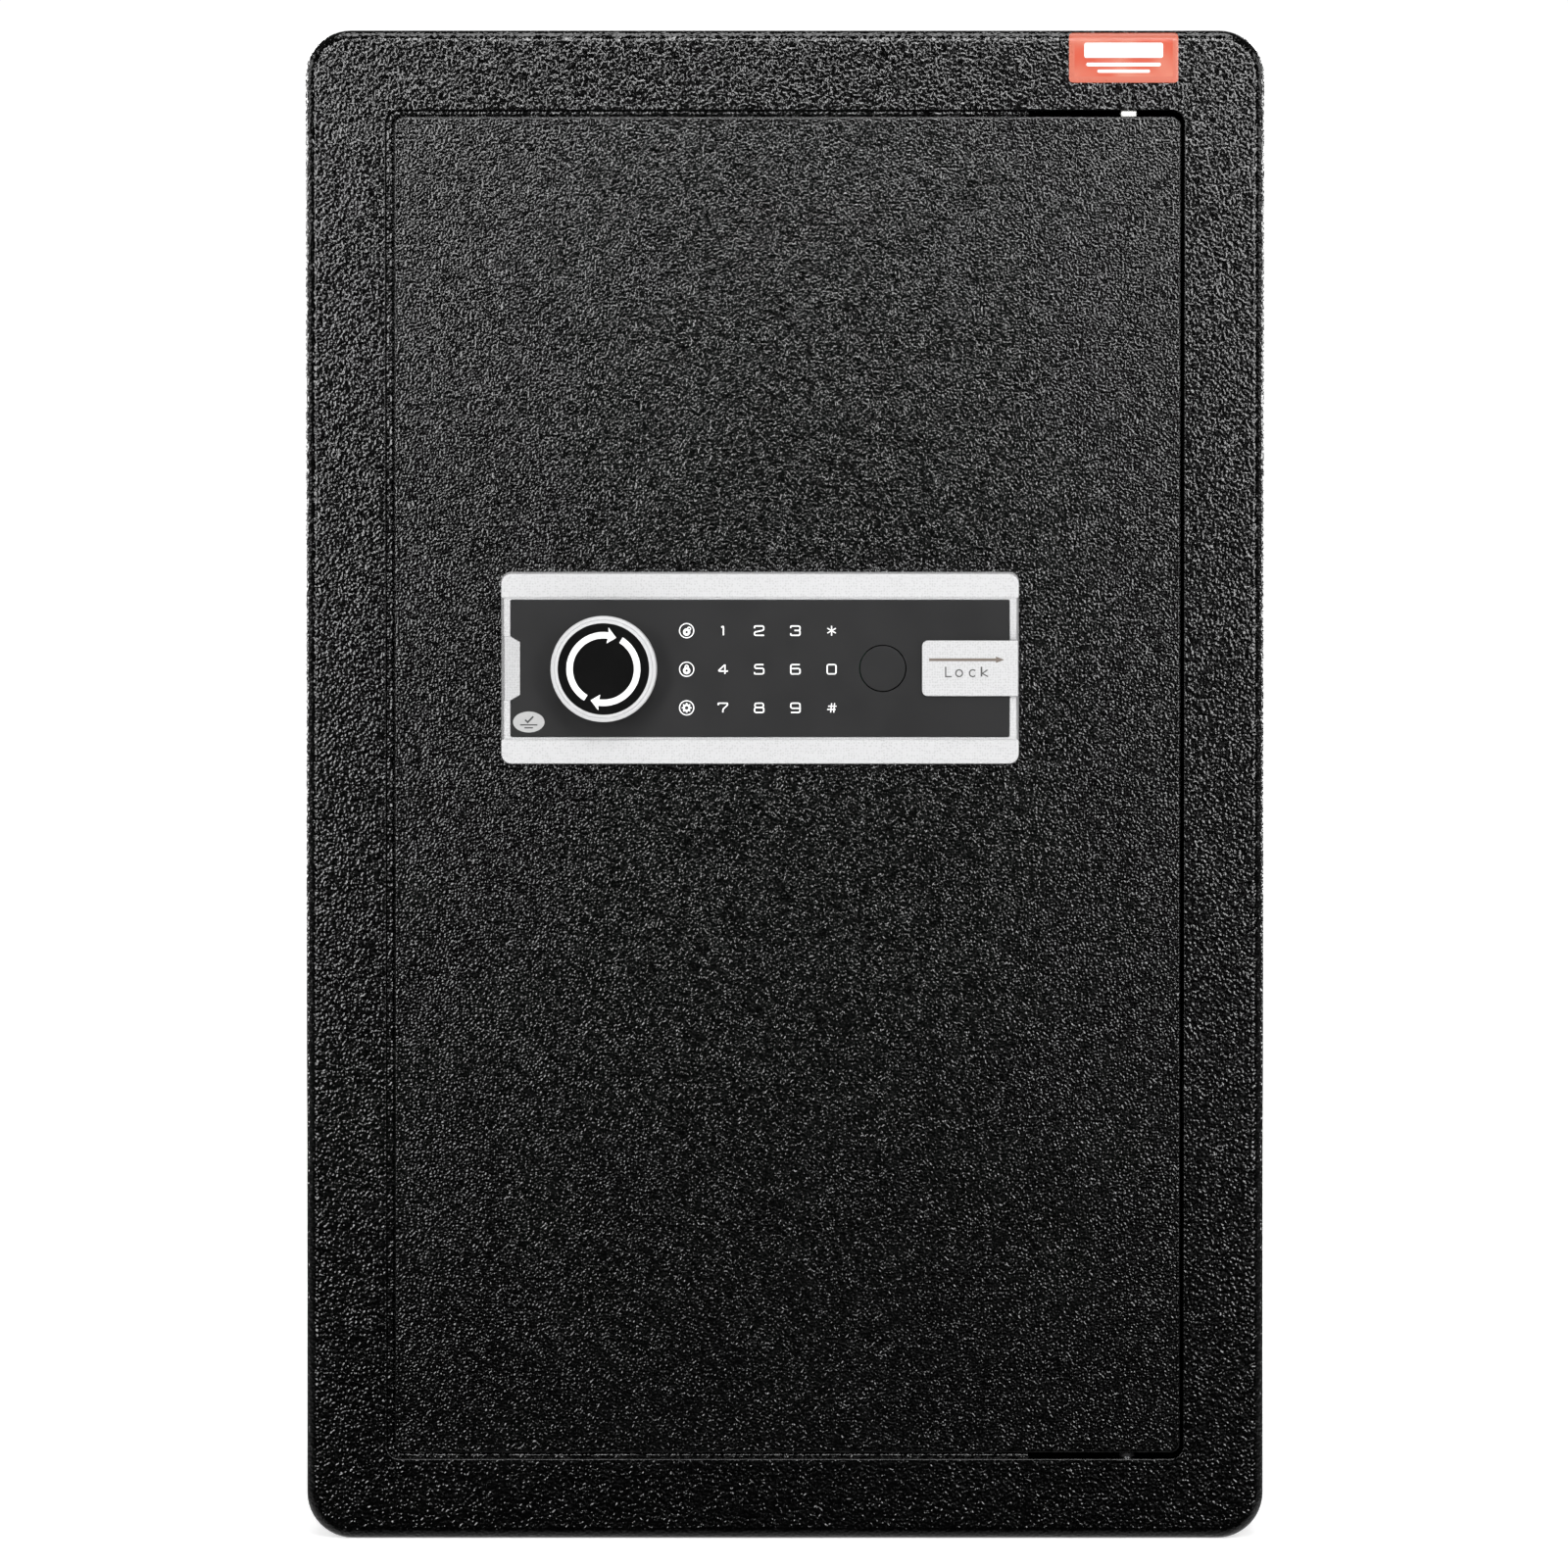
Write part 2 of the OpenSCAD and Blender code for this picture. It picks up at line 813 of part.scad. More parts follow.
module knob_ring() {
    chamfer = 2.6;
    knob_r = knob_d / 2;
    color(silver)
        translate([knob_x, knob_base, knob_z])
            rotate([90, 0, 0])
                difference() {
                    union() {
                        cylinder(r = knob_r, h = knob_out - chamfer, $fn = 96);
                        translate([0, 0, knob_out - chamfer])
                            cylinder(r1 = knob_r, r2 = knob_r - chamfer, h = chamfer, $fn = 96);
                    }
                    translate([0, 0, knob_out - 1.6])
                        cylinder(r = knob_face_r, h = 5, $fn = 96);
                    translate([0, 0, -1])
                        cylinder(r = spindle_r, h = 9, $fn = 48);
                }
}

module knob_face() {
    color([0.03, 0.03, 0.03])
        rod_y(knob_x, knob_face_y + 0.4, knob_z, 1.2, knob_face_r);
}

// A band that runs clockwise from start and ends in an arrow head
module arrow_outline(start, band_end, head_end) {
    steps = 24;
    polygon(concat(
        arc(0, 0, arrow_out, start, band_end - start, steps),
        [[(arrow_mid + arrow_head) * cos(band_end), (arrow_mid + arrow_head) * sin(band_end)],
         [arrow_mid * cos(head_end), arrow_mid * sin(head_end)],
         [(arrow_mid - arrow_head) * cos(band_end), (arrow_mid - arrow_head) * sin(band_end)]],
        arc(0, 0, arrow_in, band_end, start - band_end, steps)));
}

module knob_arrows() {
    color(white)
        translate([knob_x, 0, knob_z])
            for (half = [0, 180])
                plate(knob_face_y + 0.2, 0.2)
                    arrow_outline(238.6 + half, 82 + half, 67.7 + half);
}

module knob_spindle() {
    spindle_front = knob_base - 8;
    color(zinc)
        rod_y(knob_x, spindle_front, knob_z, gear_front + gear_t + 1 - spindle_front, spindle_r);
}

module spindle_clip() {
    color(zinc)
        difference() {
            rod_y(knob_x, plate_back + 0.3, knob_z, 1, 6.5);
            rod_y(knob_x, plate_back - 2, knob_z, 5, spindle_r);
        }
}

function involute_deg(a) = tan(a) * 180 / PI - a;
function tooth_half(r) =
    90 / tooth_count - backlash / 4 / pitch_r * 180 / PI
    + involute_deg(pressure) - involute_deg(acos(min(base_r / r, 1)));
FLANK = [for (i = [0 : 4]) base_r + (tip_r - base_r) * i / 4];
function polar(r, a) = [r * sin(a), r * cos(a)];
function tooth_outline(turn) = concat(
    [polar(root_r, turn - tooth_half(base_r))],
    [for (r = FLANK) polar(r, turn - tooth_half(r))],
    [for (i = [4 : -1 : 0]) polar(FLANK[i], turn + tooth_half(FLANK[i]))],
    [polar(root_r, turn + tooth_half(base_r))]);

module pinion() {
    color(zinc)
        difference() {
            translate([knob_x, 0, knob_z])
                plate(gear_front, gear_t)
                    polygon([for (k = [0 : tooth_count - 1]) each tooth_outline(k * 360 / tooth_count)]);
            rod_y(knob_x, gear_front - 1, knob_z, gear_t + 2, spindle_r);
        }
}

// One downward rack tooth, centred on x, with its tip below the pitch line
function rack_tooth(x) = [
    [x - rack_pitch / 4 - 1.25 * tooth_m * tan(pressure) + backlash / 4, rack_line + 1.25 * tooth_m],
    [x - rack_pitch / 4 + tooth_m * tan(pressure) + backlash / 4, rack_line - tooth_m],
    [x + rack_pitch / 4 - tooth_m * tan(pressure) - backlash / 4, rack_line - tooth_m],
    [x + rack_pitch / 4 + 1.25 * tooth_m * tan(pressure) - backlash / 4, rack_line + 1.25 * tooth_m]];

module bolt_rack() {
    rack_right = rack_left + rack_pitch * rack_teeth;
    rack_top = rack_line + 9;
    color(zinc)
        translate([knob_x, 0, knob_z])
            plate(gear_front, carriage_y - gear_front)
                polygon(concat(
                    [[rack_left, rack_top], [rack_left, rack_line + 1.25 * tooth_m]],
                    [for (k = [0 : rack_teeth - 1]) each rack_tooth(rack_left + rack_pitch * (k + 0.5))],
                    [[rack_right, rack_line + 1.25 * tooth_m], [rack_right, rack_top]]));
}

module bolt_carriage() {
    slot_left = stud_x - 4;
    slot_right = stud_x + bolt_travel + 4;
    screw_room = 8;
    color(zinc)
        difference() {
            union() {
                block(
                    [flange_x, carriage_y, carriage_low],
                    [carriage_right, carriage_y + carriage_t, carriage_high]);
                block(
                    [flange_x, bolt_y - 11, carriage_low],
                    [flange_x + 3, bolt_y + 11, carriage_high]);
                block(
                    [carriage_right, carriage_y, arm_z],
                    [10, carriage_y + carriage_t, arm_z + arm_h]);
                block(
                    [carriage_right, carriage_y, knob_z + rack_line + 2],
                    [knob_x + rack_left + rack_pitch * rack_teeth, carriage_y + carriage_t,
                     knob_z + rack_line + 9]);
            }
            for (z = stud_z)
                block(
                    [slot_left, carriage_y - 1, z - slot_half],
                    [slot_right, carriage_y + carriage_t + 1, z + slot_half]);
            for (x = [plunger_x, plunger_x + bolt_travel])
                block(
                    [x - notch_half, carriage_y - 1, arm_z - 1],
                    [x + notch_half, carriage_y + carriage_t + 1, arm_z + 7]);
            for (i = [-1 : 1]) {
                rod_x(flange_x - 2, bolt_y, mid_z + i * bolt_pitch, 6, 4.2);
                block(
                    [flange_x + 3, carriage_y - 1, mid_z + i * bolt_pitch - screw_room],
                    [flange_x + 11, carriage_y + carriage_t + 1, mid_z + i * bolt_pitch + screw_room]);
            }
            for (side = [-1, 1])
                block(
                    [flange_x + 12, carriage_y - 1, mid_z + side * 175 - 22],
                    [carriage_right - 12, carriage_y + 5, mid_z + side * 175 + 22]);
        }
}

module locking_bolt(z) {
    difference() {
        union() {
            rod_x(bolt_tip + 1.2, bolt_y, z, flange_x - bolt_tip - 1.2, bolt_d / 2);
            translate([bolt_tip, bolt_y, z])
                rotate([0, 90, 0])
                    cylinder(r1 = bolt_d / 2 - 1.2, r2 = bolt_d / 2, h = 1.2, $fn = 64);
        }
        rod_x(flange_x - 14, bolt_y, z, 20, 4);
    }
}

module upper_bolt() {
    color(silver)
        locking_bolt(mid_z + bolt_pitch);
}

module middle_bolt() {
    color(silver)
        locking_bolt(mid_z);
}

module lower_bolt() {
    color(silver)
        locking_bolt(mid_z - bolt_pitch);
}

module bolt_screws() {
    color(zinc)
        for (i = [-1 : 1])
            difference() {
                union() {
                    rod_x(flange_x - 12, bolt_y, mid_z + i * bolt_pitch, 15, 4);
                    rod_x(flange_x + 3, bolt_y, mid_z + i * bolt_pitch, 5, 6.5);
                }
                translate([flange_x + 5, bolt_y, mid_z + i * bolt_pitch])
                    rotate([0, 90, 0])
                        cylinder(r = 3, h = 5, $fn = 6);
            }
}

// ---------------------------------------------------------------- solenoid

module solenoid_frame() {
    deep = 22;
    wide = 28;
    thick = 2;
    color(zinc)
        translate([plunger_x, plunger_y, solenoid_z])
            difference() {
                block([-wide / 2, -deep / 2, 0], [wide / 2, deep / 2, solenoid_h]);
                block([-wide / 2 + thick, -deep, thick], [wide / 2 - thick, deep, solenoid_h - thick]);
                translate([0, 0, solenoid_h - 5])
                    cylinder(r = plunger_r + 0.3, h = 10, $fn = 48);
            }
    color(zinc)
        block(
            [plunger_x - 14, plate_back, solenoid_z + 4],
            [plunger_x - 12, plunger_y - 11, solenoid_z + 30]);
}

module solenoid_coil() {
    color([0.55, 0.22, 0.1])
        translate([plunger_x, plunger_y, solenoid_z + 2])
            difference() {
                cylinder(r = 10.5, h = solenoid_h - 4, $fn = 64);
                translate([0, 0, 4])
                    cylinder(r = plunger_r + 0.3, h = 40, $fn = 48);
            }
}

module solenoid_plunger() {
    body_low = solenoid_z + 8;
    color(silver)
        translate([plunger_x, plunger_y, 0]) {
            translate([0, 0, body_low])
                cylinder(r = plunger_r, h = plunger_tip - body_low, $fn = 48);
            translate([0, 0, plunger_tip - 4])
                cylinder(r = plunger_r + 0.8, h = 1.2, $fn = 48);
        }
}

// Points of a wire of circular section that climbs in a helix
function helix_points() = [
    for (i = [0 : ring_count])
        let (turn = 360 * spring_turns * i / ring_count,
             height = spring_low + spring_wire + 0.05
                 + (spring_high - spring_low - 2 * spring_wire - 0.1) * i / ring_count)
            for (k = [0 : ring_sides - 1])
                let (reach = spring_r + spring_wire * cos(60 * k))
                    [reach * cos(turn), reach * sin(turn), height + spring_wire * sin(60 * k)]];

module solenoid_spring() {
    sides = [
        for (i = [0 : ring_count - 1])
            for (k = [0 : ring_sides - 1])
                let (next = (k + 1) % ring_sides)
                    [i * ring_sides + k, i * ring_sides + next,
                     (i + 1) * ring_sides + next, (i + 1) * ring_sides + k]];
    first = [for (k = [ring_sides - 1 : -1 : 0]) k];
    last = [for (k = [0 : ring_sides - 1]) ring_count * ring_sides + k];
    color(silver)
        translate([plunger_x, plunger_y, 0])
            polyhedron(points = helix_points(), faces = concat(sides, [first, last]));
}

// ---------------------------------------------------------------- emergency lock and covers

module key_plug() {
    plug_face = front_y - 3.3;
    cam_y = front_y + 20.3;
    color([0.78, 0.66, 0.38])
        difference() {
            union() {
                rod_y(barrel_x, plug_face, cover_z, cam_y - plug_face, 5);
                rod_y(barrel_x, cam_y, cover_z, 2.5, 7);
                block([barrel_x - 5, cam_y, cover_z - 26], [barrel_x + 5, cam_y + 2.5, cover_z]);
            }
            block(
                [barrel_x - 0.8, plug_face - 1, cover_z - 3.6],
                [barrel_x + 0.8, plug_face + 14, cover_z + 3.6]
            );
        }
}

module cover_outline() {
    r = 2.6;
    w = cover_w / 2;
    h = cover_h / 2;
    polygon(concat(
        [[w, -h], [w, h]],
        arc(r - w, h - r, r, 90, 90, 6),
        arc(r - w, r - h, r, 180, 90, 6)));
}

module lock_cover() {
    right = cover_x + cover_w / 2;
    runner_back = rim_back + 1.4;
    color(silver) {
        translate([cover_x, 0, cover_z])
            plate(cover_face, cover_plate_t)
                cover_outline();
        block(
            [right - 2, cover_face, cover_z - cover_h / 2],
            [right, front_y - 1.2, cover_z + cover_h / 2]);
        for (side = [-1, 1]) {
            block(
                [cover_x - cover_w / 2 + 3, cover_face + cover_plate_t,
                 cover_z + side * runner_z - runner_half],
                [right - 2, runner_back, cover_z + side * runner_z + runner_half]);
            block(
                [cover_x - cover_w / 2 + 3, rim_back + 0.2,
                 cover_z + side * (runner_z + hook_z) / 2 - 1.65],
                [right - 2, runner_back, cover_z + side * (runner_z + hook_z) / 2 + 1.65]);
        }
    }
}

module lock_cover_legend() {
    line_z = 367.6;
    color([0.45, 0.4, 0.36]) {
        block([59.9, cover_face - 0.1, line_z - 0.55], [88.6, cover_face, line_z + 0.55]);
        translate([0, 0, line_z])
            plate(cover_face - 0.1, 0.1)
                polygon([[88.2, -1.6], [91.2, 0], [88.2, 1.6]]);
    }
}

module port_cover() {
    proud = 0.3;
    color(silver) {
        translate([0, 0, port_z])
            plate(bezel_face - proud, 1.6)
                polygon(port_outline(0));
        block(
            [port_left, bezel_face - proud, port_z - 12.4],
            [port_left + 1.6, front_y - 1.2, port_z + 12.4]);
    }
}

// ---------------------------------------------------------------- inner side of the door

module battery_box() {
    wall = 2;
    color([0.08, 0.08, 0.08])
        translate([battery_x, 0, battery_z]) {
            difference() {
                block(
                    [-box_w / 2, cover_back - box_d, -box_h / 2],
                    [box_w / 2, cover_back, box_h / 2]);
                block([-30, cover_back - box_d + wall, -26.5], [30, cover_back + 1, 26.5]);
            }
            for (side = [-1, 1]) {
                block(
                    [side * 34.5 - 1.5, cover_back, -box_h / 2],
                    [side * 34.5 + 1.5, cover_back + 3.4, box_h / 2]);
                block(
                    [side * 33.5 - 2.5, cover_back + 2.4, -box_h / 2],
                    [side * 33.5 + 2.5, cover_back + 3.4, box_h / 2]);
            }
        }
}

module batteries() {
    color([0.75, 0.5, 0.15])
        for (i = [0 : 3])
            translate([
                battery_x + (i - 1.5) * (cell_d + 0.3),
                cover_back - box_d + 2 + cell_d / 2,
                battery_z
            ]) {
                translate([0, 0, -cell_l / 2])
                    cylinder(r = cell_d / 2, h = cell_l - 1.2, $fn = 64);
                translate([0, 0, cell_l / 2 - 1.2])
                    cylinder(r = 2.7, h = 1.2, $fn = 32);
            }
}

module battery_lid() {
    rib_count = 5;
    color([0.1, 0.1, 0.1])
        translate([battery_x, cover_back + 0.3, battery_z]) {
            difference() {
                block([-32.7, 0, -box_h / 2], [32.7, lid_t, box_h / 2]);
                block([-31, lid_t - 0.01 - 0.4, -box_h / 2 - 1], [31, lid_t + 1, -box_h / 2 + 0.5]);
            }
            for (i = [1 : rib_count])
                block([-10, lid_t, 10 + 3 * i], [10, lid_t + 0.8, 11.2 + 3 * i]);
        }
}

module reset_switch() {
    color([0.1, 0.1, 0.1])
        difference() {
            block(
                [reset_x - 7, casing_back - 14, reset_z - 7],
                [reset_x + 7, casing_back, reset_z + 7]);
            rod_y(reset_x, casing_back - 8, reset_z, 10, 3.9);
        }
}

module reset_button() {
    color([0.75, 0.08, 0.06])
        rod_y(reset_x, casing_back - 5.5, reset_z, 5.5 + cover_t + 1.8, 3.7);
}

body_shell();
back_panel();
front_frame();
door_stop();
opening_ledge();
top_hinge_bracket();
bottom_hinge_bracket();
top_hinge_pin();
bottom_hinge_pin();
left_shelf_rail();
right_shelf_rail();
floor_mat();
front_label();
shelf();
shelf_mat();
door_plate();
door_casing();
door_back_cover();
cover_screws();
hinge_blocks();
top_hinge_bush();
bottom_hinge_bush();
guide_studs();
bolt_sleeves();
lock_bezel();
key_panel();
key_legends();
blank_disc();
check_sticker();
circuit_board();
spindle_bearing();
solenoid_frame();
solenoid_coil();
solenoid_spring();
lock_barrel();
power_socket();
battery_box();
batteries();
reset_switch();
bolt_carriage();
bolt_rack();
upper_bolt();
middle_bolt();
lower_bolt();
bolt_screws();
knob_ring();
knob_face();
knob_arrows();
knob_spindle();
pinion();
spindle_clip();
solenoid_plunger();
key_plug();
lock_cover();
lock_cover_legend();
port_cover();
battery_lid();
reset_button();
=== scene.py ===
"""Looks of a black electronic home safe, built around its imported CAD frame."""

import json
import math

import bmesh
import bpy
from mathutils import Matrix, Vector


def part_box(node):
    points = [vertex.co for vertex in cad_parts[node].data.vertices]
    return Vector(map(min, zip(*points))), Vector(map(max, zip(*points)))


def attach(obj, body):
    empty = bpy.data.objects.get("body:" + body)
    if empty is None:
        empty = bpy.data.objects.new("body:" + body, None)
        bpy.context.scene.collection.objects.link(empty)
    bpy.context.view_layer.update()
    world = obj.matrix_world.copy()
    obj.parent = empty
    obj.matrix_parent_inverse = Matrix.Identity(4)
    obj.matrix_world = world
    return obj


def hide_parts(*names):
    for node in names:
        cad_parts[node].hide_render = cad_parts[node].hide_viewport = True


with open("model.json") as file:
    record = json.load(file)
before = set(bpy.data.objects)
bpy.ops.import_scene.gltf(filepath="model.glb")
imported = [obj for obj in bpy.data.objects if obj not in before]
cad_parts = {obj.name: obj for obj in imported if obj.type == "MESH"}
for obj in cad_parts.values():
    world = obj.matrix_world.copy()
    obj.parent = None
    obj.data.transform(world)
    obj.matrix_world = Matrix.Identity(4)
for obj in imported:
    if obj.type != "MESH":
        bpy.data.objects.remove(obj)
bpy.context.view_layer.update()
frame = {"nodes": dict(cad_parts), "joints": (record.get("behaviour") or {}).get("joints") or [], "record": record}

MM = 0.001
ARC_STEPS = 12
RANGE_SOCKETS = ("From Min", "From Max", "To Min", "To Max")


# ------------------------------------------------------------------ node helpers


def new_material(name, color, roughness, metallic=0.0):
    """A material whose plain values sit on the shader's own sockets."""
    material = bpy.data.materials.new(name)
    material.use_nodes = True
    shader = material.node_tree.nodes["Principled BSDF"]
    shader.inputs["Base Color"].default_value = (*color, 1)
    shader.inputs["Roughness"].default_value = roughness
    shader.inputs["Metallic"].default_value = metallic
    return material


def add_node(material, kind, **values):
    """Adds a node and sets the named input sockets."""
    node = material.node_tree.nodes.new(kind)
    for socket, value in values.items():
        node.inputs[socket.replace("_", " ")].default_value = value
    return node


def link(material, source, target):
    material.node_tree.links.new(source, target)


def shader_of(material):
    return material.node_tree.nodes["Principled BSDF"]


def noise(material, scale, detail=2.0, roughness=0.5, distortion=0.0, stretch=(1, 1, 1)):
    """Noise in the object's own metres; scale is in features per metre."""
    place = material.node_tree.nodes.new("ShaderNodeTexCoord")
    mapping = add_node(material, "ShaderNodeMapping", Scale=stretch)
    texture = add_node(
        material,
        "ShaderNodeTexNoise",
        Scale=scale,
        Detail=detail,
        Roughness=roughness,
        Distortion=distortion,
    )
    link(material, place.outputs["Object"], mapping.inputs["Vector"])
    link(material, mapping.outputs["Vector"], texture.inputs["Vector"])
    return texture.outputs["Fac"]


def cells(material, scale, randomness):
    """Distance from the nearest of many points, in the object's own metres."""
    place = material.node_tree.nodes.new("ShaderNodeTexCoord")
    texture = add_node(material, "ShaderNodeTexVoronoi", Scale=scale, Randomness=randomness)
    link(material, place.outputs["Object"], texture.inputs["Vector"])
    return texture.outputs["Distance"]


def remap(material, value, low, high, to_low=0.0, to_high=1.0):
    node = material.node_tree.nodes.new("ShaderNodeMapRange")
    node.interpolation_type = "SMOOTHSTEP"
    for socket, amount in zip(RANGE_SOCKETS, (low, high, to_low, to_high)):
        node.inputs[socket].default_value = amount
    link(material, value, node.inputs["Value"])
    return node.outputs["Result"]


def blend_values(material, a, b, share):
    """a times (1 - share) plus b times share."""
    node = material.node_tree.nodes.new("ShaderNodeMix")
    node.data_type = "FLOAT"
    node.inputs["Factor"].default_value = share
    link(material, a, node.inputs["A"])
    link(material, b, node.inputs["B"])
    return node.outputs["Result"]


def blend_colors(material, factor, a, b):
    node = material.node_tree.nodes.new("ShaderNodeMix")
    node.data_type = "RGBA"
    link(material, factor, node.inputs["Factor"])
    node.inputs["A"].default_value = (*a, 1)
    node.inputs["B"].default_value = (*b, 1)
    return node.outputs["Result"]


def add_bump(material, height, distance, strength=1.0):
    bump = add_node(material, "ShaderNodeBump", Strength=strength, Distance=distance)
    link(material, height, bump.inputs["Height"])
    link(material, bump.outputs["Normal"], shader_of(material).inputs["Normal"])


def vary_roughness(material, value, low, high):
    link(material, remap(material, value, 0.3, 0.7, low, high), shader_of(material).inputs["Roughness"])


def vary_color(material, value, a, b):
    factor = remap(material, value, 0.3, 0.7)
    link(material, blend_colors(material, factor, a, b), shader_of(material).inputs["Base Color"])


# ------------------------------------------------------------------ materials


def tint(color, factor):
    """A colour made darker or lighter, but no lighter than white."""
    return tuple(min(1, c * factor) for c in color)


def powder_coat(name, scale, tone=0.0006, roughness=0.1):
    """Black textured powder coat: short wormy ridges 1 to 2 mm apart over a fine grain."""
    material = new_material(name, (tone, tone, tone), roughness)
    worms = noise(material, scale, 0.0, 0.5, 0.3)
    grain = noise(material, 2600, 1.0, 0.6)
    add_bump(material, blend_values(material, worms, grain, 0.03), 0.26 / scale, 1.0)
    vary_color(material, noise(material, 90, 3.0), (tone * 0.7,) * 3, (tone * 1.3,) * 3)
    vary_roughness(material, noise(material, 300, 2.0), roughness * 0.8, roughness * 1.2)
    shader_of(material).inputs["IOR"].default_value = 1.6
    return material


def silver_paint(name, color, stipple=0.2):
    """Silver sprayed plastic, with an even stipple of small dots as dark as stipple says."""
    material = new_material(name, color, 0.5, 0.08)
    add_bump(material, noise(material, 2600, 2.0, 0.6), 0.00004, 0.5)
    vary_roughness(material, noise(material, 900, 2.0), 0.45, 0.58)
    dim = tint(color, 1 - stipple)
    dots = remap(material, cells(material, 950, 0.45), 0.15, 0.5)
    link(material, blend_colors(material, dots, dim, color), shader_of(material).inputs["Base Color"])
    return material


def satin_plastic(name, color, roughness=0.45, grain=0.00006, scale=1800):
    """Moulded plastic with a slight grain and small changes of tone."""
    material = new_material(name, color, roughness)
    add_bump(material, noise(material, scale, 2.0, 0.6), grain, 0.5)
    vary_roughness(material, noise(material, 60, 3.0), roughness * 0.9, min(1, roughness * 1.12))
    vary_color(material, noise(material, 25, 2.0), tint(color, 0.94), tint(color, 1.06))
    return material


def metal(name, color, roughness, stretch=(1, 1, 1), grain=0.00004, scale=700):
    """Plated or turned steel, with fine lines along the stretched direction."""
    material = new_material(name, color, roughness, 1.0)
    lines = noise(material, scale, 3.0, 0.6, stretch=stretch)
    add_bump(material, lines, grain, 0.6)
    vary_roughness(material, noise(material, 45, 4.0), roughness * 0.8, min(1, roughness * 1.3))
    vary_color(material, noise(material, 30, 4.0), tint(color, 0.9), color)
    return material


def felt_cloth(name):
    """Needle felt: a tangle of short fibres with a soft sheen, its colour darker in the hollows of the fibre bump
    as painted shade and lighter on the raised fibres as painted light.
    """
    material = new_material(name, (0.045, 0.045, 0.048), 0.95)
    fibres = noise(material, 620, 5.0, 0.8, 2.2, (1, 1.6, 1))
    add_bump(material, fibres, 0.0014, 1.0)
    # Painted shade and light: the colour follows the fibre bump's height, darker in its hollows and lighter on the
    # raised fibres
    vary_color(material, fibres, (0.006, 0.006, 0.007), (0.07, 0.07, 0.075))
    shader_of(material).inputs["Sheen Weight"].default_value = 0.15
    shader_of(material).inputs["Sheen Roughness"].default_value = 0.5
    return material


def ink(name, color, roughness=0.5):
    material = new_material(name, color, roughness)
    add_bump(material, noise(material, 3000, 2.0), 0.00002, 0.4)
    vary_color(material, noise(material, 1200, 2.0), tint(color, 0.93), color)
    return material


COAT = powder_coat("black_powder_coat", 870)
DOOR_COAT = powder_coat("door_powder_coat", 1000)
SHELL_COAT = powder_coat("shell_powder_coat", 870, 0.003, 0.24)
INNER_COAT = powder_coat("inner_powder_coat", 1000, 0.005, 0.32)
SILVER = silver_paint("silver_paint", (0.5, 0.5, 0.505))
SILVER_DIM = silver_paint("silver_paint_dim", (0.45, 0.45, 0.455))
PANEL = satin_plastic("dark_panel", (0.013, 0.013, 0.0135), 0.42, 0.00004, 2400)
shader_of(PANEL).inputs["IOR"].default_value = 1.33
BLACK_PLASTIC = satin_plastic("black_plastic", (0.02, 0.02, 0.021), 0.5, 0.0001, 1500)
BLACK_GLOSS = satin_plastic("black_gloss", (0.0035, 0.0035, 0.0035), 0.16, 0.00001, 600)
NYLON = satin_plastic("white_nylon", (0.93, 0.93, 0.89), 0.45, 0.00003, 900)
RED_PLASTIC = satin_plastic("red_plastic", (0.55, 0.02, 0.012), 0.3, 0.00002, 900)
KNOB_SILVER = silver_paint("knob_silver", (0.5, 0.5, 0.505), 0.03)
ZINC = metal("zinc_steel", (0.6, 0.61, 0.62), 0.38)
BOLT_STEEL = metal("bolt_steel", (0.74, 0.74, 0.75), 0.22, (1, 30, 30), 0.00002, 120)
BRASS = metal("key_brass", (0.72, 0.52, 0.22), 0.3)
WHITE_INK = ink("white_print", (0.95, 0.95, 0.95))
GREY_INK = ink("grey_print", (0.07, 0.068, 0.066))
BROWN_INK = ink("brown_print", (0.14, 0.11, 0.09))
STICKER = ink("sticker_paper", (0.38, 0.38, 0.38), 0.35)
STICKER_INK = ink("sticker_print", (0.03, 0.03, 0.03))
LABEL_RED = satin_plastic("label_red", (0.47, 0.09, 0.045), 0.35, 0.00001, 900)
vary_color(LABEL_RED, noise(LABEL_RED, 60, 1.0), (0.46, 0.06, 0.025), (0.5, 0.17, 0.11))
LABEL_EDGE = satin_plastic("label_edge", (0.48, 0.12, 0.075), 0.3, 0.00001, 900)
FELT = felt_cloth("needle_felt")
BOARD = satin_plastic("green_board", (0.012, 0.1, 0.045), 0.35, 0.00004, 900)
COIL = satin_plastic("coil_tape", (0.3, 0.11, 0.02), 0.3, 0.00008, 1200)
CELL_SLEEVE = satin_plastic("cell_sleeve", (0.02, 0.02, 0.022), 0.25, 0.00001, 500)
CELL_BAND = metal("cell_band", (0.7, 0.42, 0.12), 0.3)


# ------------------------------------------------------------------ mesh helpers


def outline(x0, x1, z0, z1, radii, steps=ARC_STEPS):
    """Rounded rectangle as (x, z) points, from the top right corner round to the left.
    radii is one radius, or four: top right, top left, bottom left, bottom right."""
    r = (radii,) * 4 if isinstance(radii, (int, float)) else radii
    corners = [
        (x1 - r[0], z1 - r[0], r[0], 0),
        (x0 + r[1], z1 - r[1], r[1], 90),
        (x0 + r[2], z0 + r[2], r[2], 180),
        (x1 - r[3], z0 + r[3], r[3], 270),
    ]
    points = []
    for cx, cz, radius, start in corners:
        for i in range(steps + 1):
            a = math.radians(start + 90 * i / steps)
            points.append((cx + radius * math.cos(a), cz + radius * math.sin(a)))
    return points


def shrink(rect, inset, least=0.05 * MM):
    """A rounded rectangle (x0, x1, z0, z1, radii) moved inwards, or outwards when inset is negative."""
    x0, x1, z0, z1, radii = rect
    r = (radii,) * 4 if isinstance(radii, (int, float)) else radii
    return (x0 + inset, x1 - inset, z0 + inset, z1 - inset, tuple(max(q - inset, least) for q in r))


